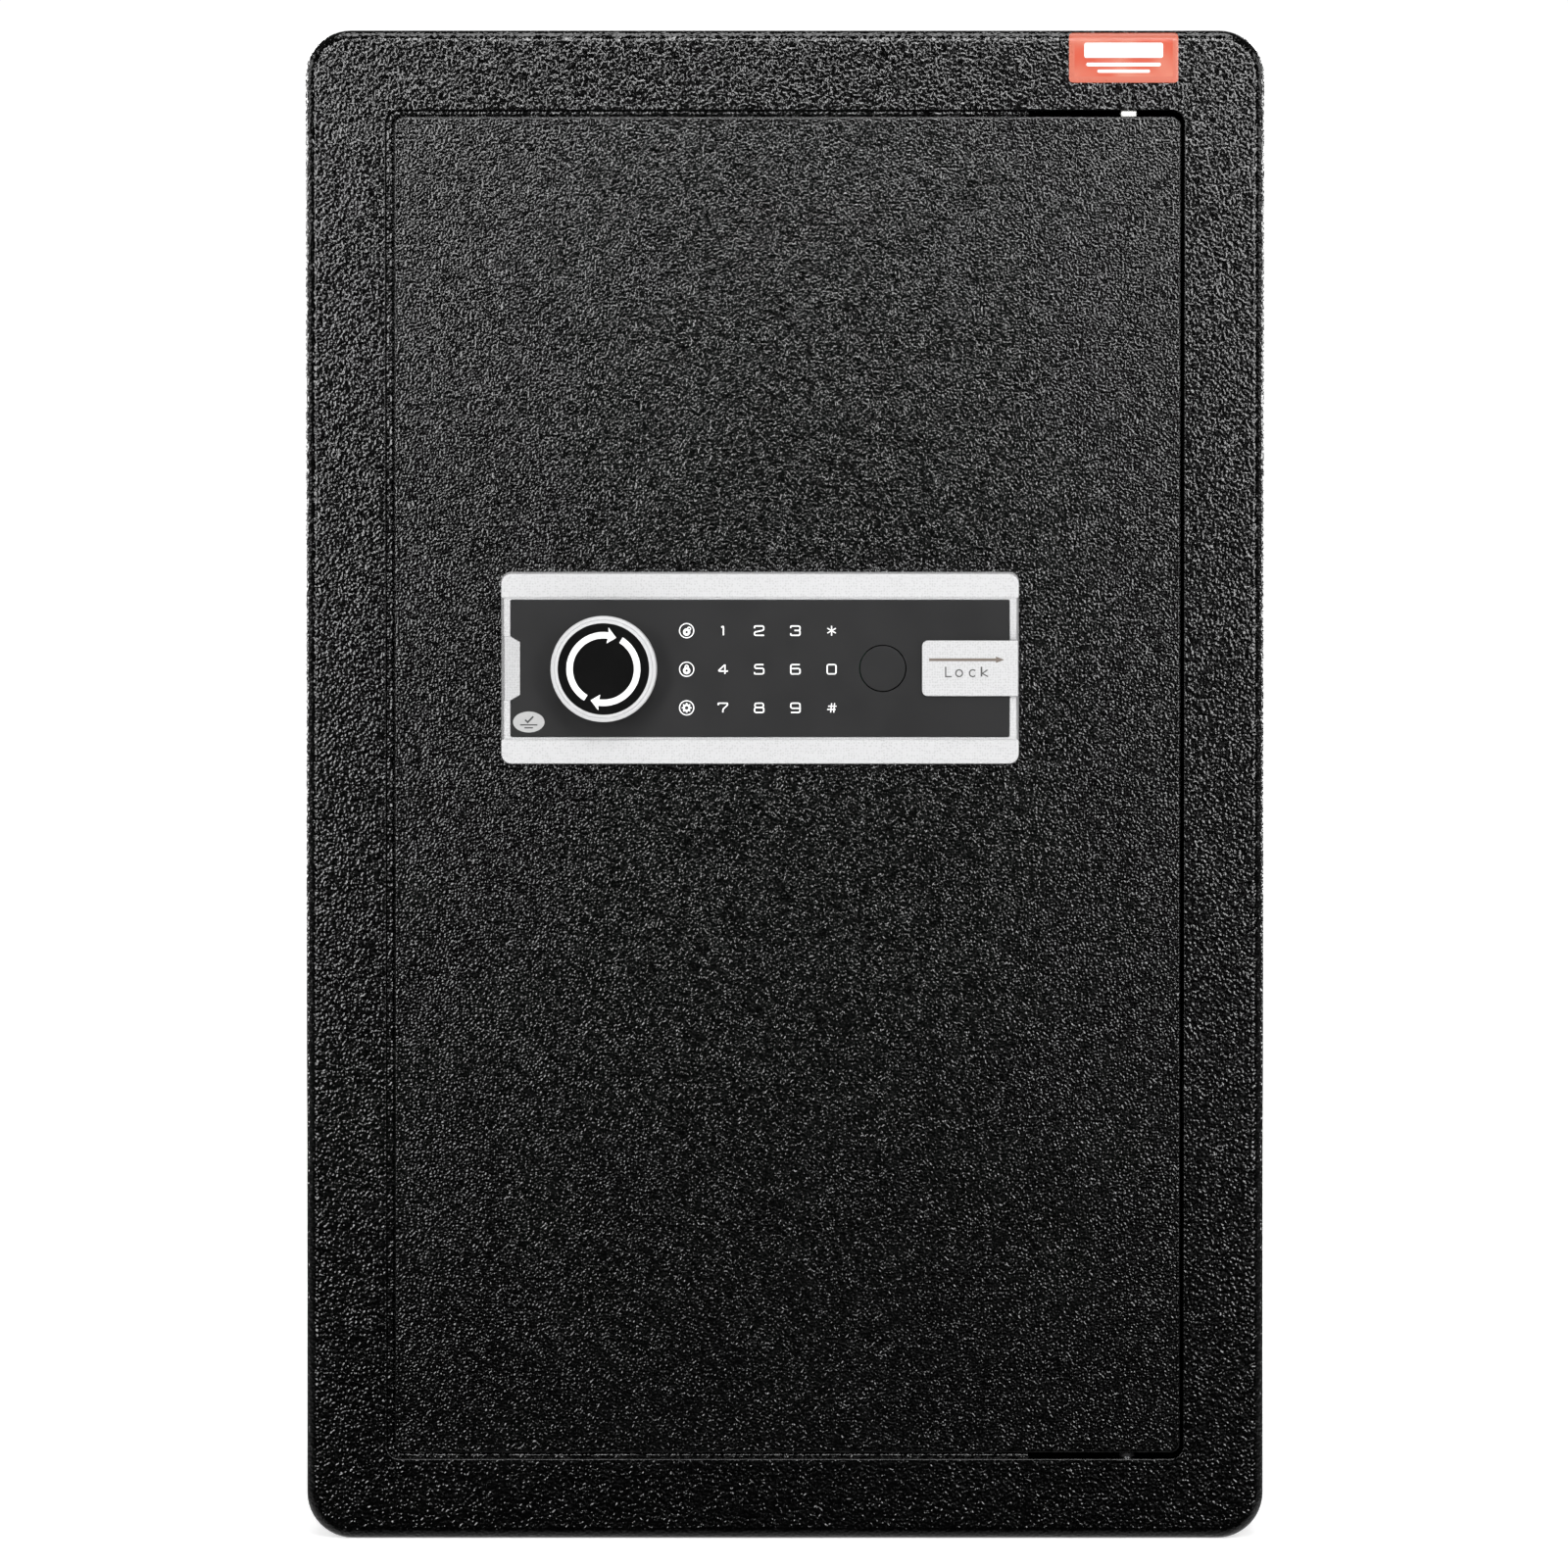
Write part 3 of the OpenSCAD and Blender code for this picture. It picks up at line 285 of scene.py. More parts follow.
def ellipse(cx, cz, rx, rz, steps):
    angles = [2 * math.pi * i / steps for i in range(steps)]
    return [(cx + rx * math.cos(a), cz + rz * math.sin(a)) for a in angles]


def circle(cx, cz, radius, steps=96):
    return ellipse(cx, cz, radius, radius, steps)


def quarter_roll(steps):
    """Shares (1 - cos, 1 - sin) of the radius of a rolled edge, over a quarter turn."""
    angles = [math.radians(90 * i / steps) for i in range(steps + 1)]
    return [(1 - math.cos(a), 1 - math.sin(a)) for a in angles]


def centre_of(low, high):
    return tuple((a + b) / 2 for a, b in zip(low, high))


def add_ring(bm, points, y):
    return [bm.verts.new((x, y, z)) for x, z in points]


def bridge(bm, ring_a, ring_b):
    count = len(ring_a)
    for i in range(count):
        j = (i + 1) % count
        bm.faces.new((ring_a[i], ring_a[j], ring_b[j], ring_b[i]))


def add_loft(bm, sections, closed=False):
    """Skins a row of (points, y) sections. An open loft gets a flat cap at each end."""
    rings = [add_ring(bm, points, y) for points, y in sections]
    for a, b in zip(rings, rings[1:]):
        bridge(bm, a, b)
    if closed:
        bridge(bm, rings[-1], rings[0])
    else:
        bm.faces.new(rings[0])
        bm.faces.new(rings[-1])


def add_stack(bm, sections):
    """Skins a row of flat (points, z) sections and caps both ends."""
    rings = [[bm.verts.new((x, y, z)) for x, y in points] for points, z in sections]
    for a, b in zip(rings, rings[1:]):
        bridge(bm, a, b)
    bm.faces.new(rings[0])
    bm.faces.new(rings[-1])


def add_prism(bm, points, y0, y1):
    """A flat outline made solid between two depths."""
    add_loft(bm, [(points, y0), (points, y1)])


def add_block(bm, low, high):
    x0, y0, z0 = low
    x1, y1, z1 = high
    add_prism(bm, [(x0, z0), (x1, z0), (x1, z1), (x0, z1)], y0, y1)


def settle(obj, smooth_angle=40, weighted=True):
    """Smooth shading that keeps real corners sharp and big faces flat."""
    mesh = obj.data
    mesh.polygons.foreach_set("use_smooth", [True] * len(mesh.polygons))
    mesh.set_sharp_from_angle(angle=math.radians(smooth_angle))
    if weighted:
        modifier = obj.modifiers.new("weighted_normals", "WEIGHTED_NORMAL")
        modifier.keep_sharp = True
    mesh.update()


def finish_mesh(name, bm, *materials, smooth_angle=40):
    bmesh.ops.remove_doubles(bm, verts=bm.verts, dist=1e-7)
    bmesh.ops.recalc_face_normals(bm, faces=bm.faces)
    mesh = bpy.data.meshes.new(name)
    bm.to_mesh(mesh)
    bm.free()
    for material in materials:
        mesh.materials.append(material)
    obj = bpy.data.objects.new(name, mesh)
    bpy.context.scene.collection.objects.link(obj)
    settle(obj, smooth_angle)
    return obj


def pillow_sections(rect, front, back, edge, steps=4):
    """Sections of a plate whose front edge is rolled over."""
    sections = [(outline(*rect), back)]
    for across, down in quarter_roll(steps):
        sections.append((outline(*shrink(rect, edge * across)), front + edge * down))
    return sections


def lathe_sections(cx, cz, profile, steps=96):
    """Sections turned about an axis along Y; profile is (radius, y) pairs."""
    return [(circle(cx, cz, radius, steps), y) for radius, y in profile]


def cut(obj, *cutters, smooth_angle=40):
    """Takes the cutters out of a piece, for good."""
    obj.modifiers.clear()
    for cutter in cutters:
        modifier = obj.modifiers.new("cut", "BOOLEAN")
        modifier.operation = "DIFFERENCE"
        modifier.solver = "EXACT"
        modifier.object = cutter
    graph = bpy.context.evaluated_depsgraph_get()
    made = bpy.data.meshes.new_from_object(obj.evaluated_get(graph))
    obj.modifiers.clear()
    obj.data = made
    for cutter in cutters:
        bpy.data.objects.remove(cutter)
    settle(obj, smooth_angle)
    return obj


def cutter_from(add, *arguments):
    """A throwaway solid for cut(), made by one of the add functions."""
    bm = bmesh.new()
    add(bm, *arguments)
    return finish_mesh("cutter", bm)


def lofted(name, sections, material, closed=False, smooth_angle=40):
    bm = bmesh.new()
    add_loft(bm, sections, closed)
    return finish_mesh(name, bm, material, smooth_angle=smooth_angle)


def bore_along_z(x, y, z0, z1, radius):
    rim = circle(x, y, radius, 48)
    return cutter_from(add_stack, [(rim, z0), (rim, z1)])


def rounded_path(points, radius, closed=False, steps=5):
    """A polyline with its corners rounded."""
    count = len(points)
    path = []
    for i, corner in enumerate(points):
        if not closed and i in (0, count - 1):
            path.append(corner)
            continue
        here = Vector(corner)
        before = Vector(points[i - 1]) - here
        after = Vector(points[(i + 1) % count]) - here
        reach = min(radius, before.length * 0.48, after.length * 0.48)
        start = here + before.normalized() * reach
        end = here + after.normalized() * reach
        for k in range(steps + 1):
            t = k / steps
            path.append(tuple(start * (1 - t) ** 2 + here * 2 * t * (1 - t) + end * t**2))
    return path


def add_stroke(bm, points, width, front, back, closed=False):
    """A flat stroke of even width that follows a path in X and Z."""
    count = len(points)
    rows = []
    for i, point in enumerate(points):
        here = Vector(point)
        behind = here - Vector(points[i - 1]) if closed or i > 0 else None
        ahead = Vector(points[(i + 1) % count]) - here if closed or i < count - 1 else None
        steps = [d for d in (behind, ahead) if d is not None and d.length > 1e-9]
        sides = [Vector((-d.y, d.x)).normalized() for d in steps]
        normal = sum(sides, Vector((0, 0))).normalized()
        reach = width / 2 / max(normal.dot(sides[0]), 0.6)
        left, right = here + normal * reach, here - normal * reach
        corners = ((left, front), (right, front), (right, back), (left, back))
        rows.append([bm.verts.new((p.x, y, p.y)) for p, y in corners])
    pairs = list(zip(rows, rows[1:]))
    if closed:
        pairs.append((rows[-1], rows[0]))
    for a, b in pairs:
        bridge(bm, a, b)
    if not closed:
        bm.faces.new(rows[0])
        bm.faces.new(rows[-1])


def place(obj, body, slot, *nodes):
    """Rides a new piece on its body and hides the CAD nodes that it stands for; slot is not used."""
    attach(obj, body)
    if nodes:
        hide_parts(*nodes)
    return obj


def keep(node, material, bevel=0.25):
    """A CAD node that stays: it gets a material, and a small bevel, in millimetres, on its edges."""
    obj = frame["nodes"][node]
    if not obj.data.materials:
        obj.data.materials.append(material)
    for i in range(len(obj.data.materials)):
        obj.data.materials[i] = material
    if bevel:
        weld = obj.modifiers.new("weld", "WELD")
        weld.merge_threshold = 1e-6
        flat = obj.modifiers.new("merge_flats", "DECIMATE")
        flat.decimate_type = "DISSOLVE"
        flat.angle_limit = math.radians(1)
        edge = obj.modifiers.new("edge_break", "BEVEL")
        edge.width = bevel * MM
        edge.segments = 2
        edge.limit_method = "ANGLE"
        edge.angle_limit = math.radians(35)
        edge.harden_normals = False
        normals = obj.modifiers.new("weighted_normals", "WEIGHTED_NORMAL")
        normals.keep_sharp = True
    return obj


# ------------------------------------------------------------------ places read from the frame

body_low, body_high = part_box("body_shell")
rim_low, rim_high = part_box("front_frame")
stop_low, stop_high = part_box("door_stop")
door_low, door_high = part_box("door_plate")
bezel_low, bezel_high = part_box("lock_bezel")
panel_low, panel_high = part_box("key_panel")
legend_low, legend_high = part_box("key_legends")
joint = {j["name"]: j for j in frame["joints"]}
knob_x, _, knob_z = joint["knob_turn"]["pos_m"]
mounts = {m["name"]: m for m in frame["record"]["mounts"]}

FRONT = rim_low.y
SIDE_R = 19 * MM
SHEET = 2 * MM
MID_Z = (rim_low.z + rim_high.z) / 2

opening = (stop_low.x, -stop_low.x, stop_low.z, stop_high.z, 5.5 * MM)
body_rect = (body_low.x, body_high.x, body_low.z, body_high.z, SIDE_R)


# ------------------------------------------------------------------ cabinet


def frame_skin():
    """Pressed front frame: rolled outer edge, flat border, and the lip around the opening."""
    roll, edge, lip, plate = 5 * MM, 0.4 * MM, 2.5 * MM, 3 * MM
    seam = 0.25 * MM
    lip_back = FRONT + 12 * MM
    sections = [
        (outline(*shrink(body_rect, seam)), rim_high.y),
        (outline(*body_rect), rim_high.y - seam),
    ]
    for across, down in quarter_roll(8):
        sections.append((outline(*shrink(body_rect, roll * across)), FRONT + roll * down))
    for down, across in quarter_roll(4):
        sections.append((outline(*shrink(opening, -edge * across)), FRONT + edge * down))
    sections += [
        (outline(*opening), lip_back),
        (outline(*shrink(opening, -lip)), lip_back),
        (outline(*shrink(opening, -lip)), FRONT + plate),
        (outline(*shrink(body_rect, plate)), FRONT + plate),
        (outline(*shrink(body_rect, plate)), rim_high.y),
    ]
    place(lofted("frame_skin", sections, COAT, closed=True), "cabinet", "cabinet_paint", "front_frame")


def hole_centres(mount):
    """The four corner holes of a stated bolt pattern, as offsets from its middle."""
    dims = mount["dims"]
    dx, dy = dims["spacing_x_mm"] * MM / 2, dims["spacing_y_mm"] * MM / 2
    return [(sx * dx, sy * dy) for sx in (-1, 1) for sy in (-1, 1)], dims["hole_r_mm"] * MM


def cabinet_skin():
    """Bent casing with the anchor holes in its floor."""
    seam, back_edge = 0.25 * MM, 0.9 * MM
    inner = shrink(body_rect, SHEET)
    sections = [
        (outline(*shrink(body_rect, seam)), body_low.y),
        (outline(*body_rect), body_low.y + seam),
        (outline(*body_rect), body_high.y - back_edge),
        (outline(*shrink(body_rect, 0.3 * back_edge)), body_high.y - 0.3 * back_edge),
        (outline(*shrink(body_rect, back_edge)), body_high.y),
        (outline(*inner), body_high.y),
        (outline(*inner), body_low.y),
    ]
    skin = lofted("cabinet_skin", sections, SHELL_COAT, closed=True)
    mount = mounts["floor_anchors"]
    offsets, radius = hole_centres(mount)
    x, y, z = mount["pos_m"]
    cut(skin, *[bore_along_z(x + dx, y + dy, z - 0.005, z + 0.01, radius) for dx, dy in offsets])
    place(skin, "cabinet", "cabinet_paint", "body_shell")


def back_sheet():
    """Back panel set just inside the casing's edge, with the wall anchor holes."""
    low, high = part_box("back_panel")
    recess, edge = 0.5 * MM, 0.6 * MM
    rect = (low.x, high.x, low.z, high.z, SIDE_R - SHEET)
    sections = [(outline(*rect), low.y)]
    for across, down in quarter_roll(3):
        sections.append((outline(*shrink(rect, edge * across)), high.y - recess - edge * down))
    sheet = lofted("back_sheet", sections, SHELL_COAT)
    mount = mounts["wall_anchors"]
    offsets, radius = hole_centres(mount)
    x, _, z = mount["pos_m"]
    rims = [circle(x + dx, z + dz, radius, 48) for dx, dz in offsets]
    cut(sheet, *[cutter_from(add_prism, rim, low.y - 0.005, high.y + 0.005) for rim in rims])
    place(sheet, "cabinet", "cabinet_paint", "back_panel")


def felt_mat(name, node, body, radius, holes=None):
    """Felt mat with soft edges."""
    low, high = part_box(node)
    edge = (high.z - low.z) * 0.45
    rect = (low.x, high.x, low.y, high.y, radius)
    levels = [(0.0, low.z), (0.0, high.z - edge), (0.3 * edge, high.z - 0.3 * edge), (edge, high.z)]
    bm = bmesh.new()
    add_stack(bm, [(outline(*shrink(rect, inset)), z) for inset, z in levels])
    mat = finish_mesh(name, bm, FELT)
    if holes:
        mount = mounts[holes]
        offsets, hole_r = hole_centres(mount)
        x, y, _ = mount["pos_m"]
        z0, z1, clearance = low.z - 0.002, high.z + 0.002, 3 * MM
        cut(mat, *[bore_along_z(x + dx, y + dy, z0, z1, hole_r + clearance) for dx, dy in offsets])
    place(mat, body, "felt", node)


def front_label():
    """Generic printed label that rolls over the frame's top edge: a red field in a raised border,
    with a plain white bar and two lines in place of any wording."""
    low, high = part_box("front_label")
    roll = 5 * MM
    columns, rows = 40, 24
    thick = 0.35 * MM
    border = 2.6 * MM
    corner = 1.6 * MM
    width, height = high.x - low.x, high.z - low.z
    start = rim_high.z - roll

    def on_frame(z, lift):
        """Depth and height of a point that lies on the frame's front, lifted off it."""
        if z <= start:
            return FRONT - lift, z
        a = math.asin(min((z - start) / roll, 1))
        return FRONT + roll * (1 - math.cos(a)) - lift * math.cos(a), start + (roll + lift) * math.sin(a)

    def rounded(u, v):
        """Keeps a point of the unit square inside the label's rounded outline."""
        x, z = u * width, v * height
        dx = max(corner - x, x - (width - corner), 0)
        dz = max(corner - z, z - (height - corner), 0)
        length = math.hypot(dx, dz)
        if length > corner:
            pull = corner / length
            cx = corner if x < corner else width - corner
            cz = corner if z < corner else height - corner
            x = cx + (x - cx) * pull
            z = cz + (z - cz) * pull
        return x, z

    def lift_at(x, z):
        """Raised border: a small bevel that steps down to the printed field."""
        gap = min(x, width - x, z, height - z)
        return thick * (0.55 + 0.45 * min(gap / (0.7 * MM), 1)) if gap < border * 0.6 else thick * 0.8

    bm = bmesh.new()
    grid = []
    for j in range(rows + 1):
        line = []
        for i in range(columns + 1):
            x, z = rounded(i / columns, j / rows)
            y, zz = on_frame(low.z + z, lift_at(x, z))
            line.append(bm.verts.new((low.x + x, y, zz)))
        grid.append(line)
    for j in range(rows):
        for i in range(columns):
            face = bm.faces.new((grid[j][i], grid[j][i + 1], grid[j + 1][i + 1], grid[j + 1][i]))
            x = (i + 0.5) / columns * width
            z = (j + 0.5) / rows * height
            face.material_index = 1 if min(x, width - x, z, height - z) < border else 0
    top = list(bm.faces)
    extruded = bmesh.ops.extrude_face_region(bm, geom=top)
    for vertex in [v for v in extruded["geom"] if isinstance(v, bmesh.types.BMVert)]:
        vertex.co.y += thick * 0.9
    label = finish_mesh("front_label_skin", bm, LABEL_RED, LABEL_EDGE, smooth_angle=60)
    place(label, "cabinet", "label_print", "front_label")

    bars = [(0.14, 0.86, 0.50, 0.80), (0.16, 0.84, 0.33, 0.40), (0.26, 0.74, 0.20, 0.26)]
    bm = bmesh.new()
    for u0, u1, v0, v1 in bars:
        x0, x1 = low.x + u0 * width, low.x + u1 * width
        z0, z1 = low.z + v0 * height, low.z + v1 * height
        bar = outline(x0, x1, z0, z1, min(0.8 * MM, (z1 - z0) * 0.45), 4)
        add_prism(bm, bar, FRONT - thick * 1.08, FRONT - thick * 0.5)
    place(finish_mesh("front_label_bars", bm, WHITE_INK), "cabinet", "label_print")


# ------------------------------------------------------------------ door


def door_skin():
    """Door plate with a softly rolled front edge."""
    rect = (door_low.x, door_high.x, door_low.z, door_high.z, 4 * MM)
    skin = lofted("door_skin", pillow_sections(rect, door_low.y, door_high.y, 1.2 * MM, 6), DOOR_COAT)
    place(skin, "door", "door_paint", "door_plate")


def hinge_bush(name, node):
    """Nylon bush on a hinge pin, with the flat white face that shows in the gap beside the door."""
    low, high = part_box(node)
    x, y, _ = centre_of(low, high)
    r = (high.x - low.x) / 2
    face_y = FRONT + 1.6 * MM
    rim = 0.15 * MM
    rect = (x - r, x + r, face_y, y + r, (r * 0.98, r * 0.98, 0.6 * MM, 0.6 * MM))
    levels = ((low.z, rim), (low.z + rim, 0), (high.z - rim, 0), (high.z, rim))
    bm = bmesh.new()
    add_stack(bm, [(outline(*shrink(rect, inset)), z) for z, inset in levels])
    bush = finish_mesh(name, bm, NYLON)
    cut(bush, bore_along_z(x, y, low.z - 1 * MM, high.z + 1 * MM, 2.45 * MM))
    place(bush, "door", "white_nylon", node)


# ------------------------------------------------------------------ lock panel

window = (
    panel_low.x - 0.2 * MM, panel_high.x + 0.2 * MM,
    panel_low.z - 0.2 * MM, panel_high.z + 0.2 * MM, 0.7 * MM,
)
cover_low, cover_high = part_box("lock_cover")
cover_mid = (cover_low.z + cover_high.z) / 2
COVER_HALF = 11.55 * MM
COVER_HOLE_HALF = 10.9 * MM
bezel_step = 0.8 * MM


def cover_cutters():
    """Room for the slide over the emergency lock, at the bezel's right end."""
    gap = 0.15 * MM
    half = COVER_HOLE_HALF
    near_x = cover_low.x + 1.5 * MM
    far_x = bezel_high.x + 20 * MM
    lip_x = cover_high.x - 2 * MM - gap
    back = door_low.y - 0.9 * MM
    low, high = cover_mid - COVER_HALF - gap, cover_mid + COVER_HALF + gap
    return [
        cutter_from(add_block, (near_x, cover_low.y, cover_mid - half), (far_x, back, cover_mid + half)),
        cutter_from(add_block, (lip_x, cover_low.y, low), (far_x, back, high)),
        cutter_from(add_block, (lip_x - 1.6 * MM, cover_low.y, low), (far_x, panel_low.y, high)),
    ]


port_low, port_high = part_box("port_cover")
port_mid = (port_low.z + port_high.z) / 2
port_bend = window[0]


def port_outline(left, grow):
    """Outline of the emergency power cover: straight at first, then narrower towards its end."""
    outer, inner = 13.35 * MM, 11.0 * MM
    return [
        (left, port_mid - outer - grow),
        (port_bend, port_mid - outer - grow),
        (port_high.x + grow, port_mid - inner - grow),
        (port_high.x + grow, port_mid + inner + grow),
        (port_bend, port_mid + outer + grow),
        (left, port_mid + outer + grow),
    ]


def port_cutter(grow):
    points = port_outline(bezel_low.x - 5 * MM, grow)
    return cutter_from(add_prism, points, bezel_low.y - 0.005, door_low.y - 1 * MM)


def tapered(front_rect, base_rect, front, back, roll, steps=5):
    """Sections of a block whose sides lean in from its base to a front edge rolled over."""
    sections = [(outline(*base_rect), back)]
    for i in range(steps):
        a = math.radians(90 * i / (steps - 1))
        rect = shrink(front_rect, -roll * math.cos(a))
        sections.append((outline(*rect), front + roll * (1 - math.sin(a))))
    return sections


def bezel_skin():
    """Silver bezel: a dished body with a window, and a raised strip along its top and its bottom."""
    face = bezel_low.y + bezel_step
    back = bezel_high.y
    base = (
        bezel_low.x + 0.1 * MM, bezel_high.x - 0.1 * MM,
        bezel_low.z + 0.3 * MM, bezel_high.z - 0.3 * MM, 4 * MM,
    )
    front = (
        bezel_low.x + 1.75 * MM, bezel_high.x - 1.45 * MM,
        bezel_low.z + 1.5 * MM, bezel_high.z - 1.5 * MM, 3 * MM,
    )
    sections = tapered(front, base, face, back, 0.3 * MM)
    round_in = 0.3 * MM
    for down, across in quarter_roll(3):
        sections.append((outline(*shrink(window, -round_in * across)), face + round_in * down))
    ledge = panel_high.y
    sections += [
        (outline(*window), ledge),
        (outline(*shrink(window, 4 * MM)), ledge),
        (outline(*shrink(window, 4 * MM)), ledge + 1 * MM),
        (outline(*shrink(base, 3.2 * MM)), ledge + 1 * MM),
        (outline(*shrink(base, 3.2 * MM)), back),
    ]
    bezel = lofted("bezel_skin", sections, SILVER, closed=True)
    cut(bezel, *cover_cutters(), port_cutter(0.04 * MM))
    place(bezel, "door", "silver_plastic", "lock_bezel")

    roll, step = 0.35 * MM, 0.12 * MM
    lean = 0.3 * MM
    reach = 9.3 * MM
    left, right = bezel_low.x + 0.75 * MM, bezel_high.x - 0.7 * MM
    top, bottom = bezel_high.z - 1.2 * MM, bezel_low.z + 0.6 * MM
    outer_r, inner_r = 3.8 * MM, 0.4 * MM
    top_radii, bottom_radii = (outer_r, outer_r, inner_r, inner_r), (inner_r, inner_r, outer_r, outer_r)
    for name, z0, z1, radii, base_z0, base_z1 in (
        ("bezel_top_strip", top - reach, top, top_radii, top - reach - lean, bezel_high.z),
        ("bezel_bottom_strip", bottom, bottom + reach, bottom_radii, bezel_low.z, bottom + reach + lean),
    ):
        front = (left, right, z0, z1, radii)
        base = (bezel_low.x, bezel_high.x, base_z0, base_z1, tuple(r + lean for r in radii))
        margin = 1.2 * MM
        top_margin, low_margin = (margin, 0.1 * MM) if z1 == top else (0.1 * MM, margin)
        field_radii = tuple(max(r - margin, inner_r) for r in radii)
        field = (left + margin, right - margin, z0 + low_margin, z1 - top_margin, field_radii)
        shape = tapered(front, base, bezel_low.y + step, back, roll)
        shape += [
            (outline(*shrink(field, -0.1 * MM)), bezel_low.y + step),
            (outline(*field), bezel_low.y),
        ]
        bm = bmesh.new()
        add_loft(bm, shape)
        place(finish_mesh(name, bm, SILVER), "door", "silver_plastic")


def panel_skin():
    """Dark key panel with its openings for the knob, the round disc, the slide and the power cover."""
    disc_low, disc_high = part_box("blank_disc")
    disc_x, _, disc_z = centre_of(disc_low, disc_high)
    disc_r = (disc_high.x - disc_low.x) / 2
    rect = (panel_low.x, panel_high.x, panel_low.z, panel_high.z, 0.9 * MM)
    panel = lofted("panel_skin", pillow_sections(rect, panel_low.y, panel_high.y, 0.2 * MM, 3), PANEL)
    far = panel_high.y + 2 * MM
    near = panel_low.y - 2 * MM
    cut(
        panel,
        cutter_from(add_prism, circle(knob_x, knob_z, 6.5 * MM, 64), near, far),
        cutter_from(add_prism, circle(disc_x, disc_z, disc_r + 0.4 * MM), near, far),
        cutter_from(
            add_block,
            (cover_low.x + 1.5 * MM, near, cover_mid - COVER_HOLE_HALF),
            (bezel_high.x, far, cover_mid + COVER_HOLE_HALF),
        ),
        port_cutter(0.25 * MM),
    )
    place(panel, "door", "panel_plastic", "key_panel")

    top = panel_low.y - 0.05 * MM
    soft = 0.3 * MM
    profile = [
        (disc_r * 0.96, panel_high.y + 0.5 * MM),
        (disc_r, panel_high.y + 0.3 * MM),
        (disc_r, top + soft),
        (disc_r - 0.3 * soft, top + 0.3 * soft),
        (disc_r - soft, top),
        (disc_r * 0.5, top + 0.06 * MM),
        (disc_r * 0.12, top + 0.08 * MM),
    ]
    disc = lofted("disc_skin", lathe_sections(disc_x, disc_z, profile, 128), PANEL)
    place(disc, "door", "panel_plastic", "blank_disc")


# Figures in a wide square hand, as strokes on a square from -1 to 1; a closed stroke ends where it starts
FIGURES = {
    "1": [[(-0.35, 0.72), (0.12, 1), (0.12, -1)]],
    "2": [[(-1, 0.5), (-1, 1), (1, 1), (1, 0.1), (-1, -0.3), (-1, -1), (1.05, -1)]],
    "3": [
        [(-1, 0.55), (-1, 1), (1, 1), (1, 0.05), (-0.2, 0.05)],
        [(0.2, 0.05), (1, 0.05), (1, -1), (-1, -1), (-1, -0.55)],
    ],
    "4": [[(0.45, -1), (0.45, 1)], [(0.4, 0.95), (-1.05, -0.4), (1.1, -0.4)]],
    "5": [[(0.95, 1), (-0.9, 1), (-0.95, 0.2), (1, 0.2), (1, -1), (-1, -1), (-1, -0.6)]],
    "6": [[(0.95, 1), (-1, 1), (-1, -1), (1, -1), (1, 0.15), (-0.95, 0.15)]],
    "7": [[(-1, 0.6), (-1, 1), (1, 1), (1, 0.6), (0, -0.3), (0, -1)]],
    "8": [
        [(-0.9, 1), (0.9, 1), (0.9, 0.08), (-0.9, 0.08), (-0.9, 1)],
        [(-1, 0.04), (1, 0.04), (1, -1), (-1, -1), (-1, 0.04)],
    ],
    "9": [[(-0.95, -1), (1, -1), (1, 1), (-1, 1), (-1, -0.1), (0.95, -0.1)]],
    "0": [[(-0.95, 1), (0.95, 1), (0.95, -1), (-0.95, -1), (-0.95, 1)]],
    "#": [
        [(-0.2, -1), (0.0, 1)], [(0.45, -1), (0.65, 1)],
        [(-0.75, 0.35), (1.05, 0.35)], [(-0.95, -0.35), (0.85, -0.35)],
    ],
}
KEY_ROWS = ("123*", "4560", "789#")


# Each stroke of a mark stands this much lower than the one before, so that no two share a plane
layer = 0.004 * MM


def add_figure(bm, mark, x, z, size, width, front, back):
    for k, line in enumerate(FIGURES[mark]):
        closed = line[0] == line[-1]
        corners = line[:-1] if closed else line
        points = [(x + size * u, z + size * v) for u, v in corners]
        path = rounded_path(points, size * 0.42, closed)
        add_stroke(bm, path, width, front + k * layer, back, closed)


def arc_points(x, z, radius, start, end, steps=24):
    angles = [math.radians(start + (end - start) * i / steps) for i in range(steps + 1)]
    return [(x + radius * math.cos(a), z + radius * math.sin(a)) for a in angles]


def add_padlock(bm, x, z, size, front, back, tilt):
    """Little padlock: a round body with a keyhole left open, and a shackle turned by tilt."""
    add_stroke(bm, circle(x, z - 0.35 * size, 0.62 * size, 24), 0.62 * size, front, back, closed=True)
    lean = math.radians(tilt)
    hook = []
    for u, v in arc_points(0, 0.62 * size, 0.4 * size, -20, 200, 14):
        hook_x = x + u * math.cos(lean) + v * math.sin(lean) + 0.2 * size * tilt / 40
        hook.append((hook_x, z - u * math.sin(lean) + v * math.cos(lean)))
    add_stroke(bm, hook, 0.26 * size, front + layer, back)


def add_gear(bm, x, z, size, front, back):
    add_stroke(bm, circle(x, z, 0.72 * size, 32), 0.5 * size, front, back, closed=True)
    for k in range(8):
        a = math.radians(45 * k)
        tooth = [(x + r * size * math.cos(a), z + r * size * math.sin(a)) for r in (0.85, 1.25)]
        add_stroke(bm, tooth, 0.36 * size, front + layer, back)


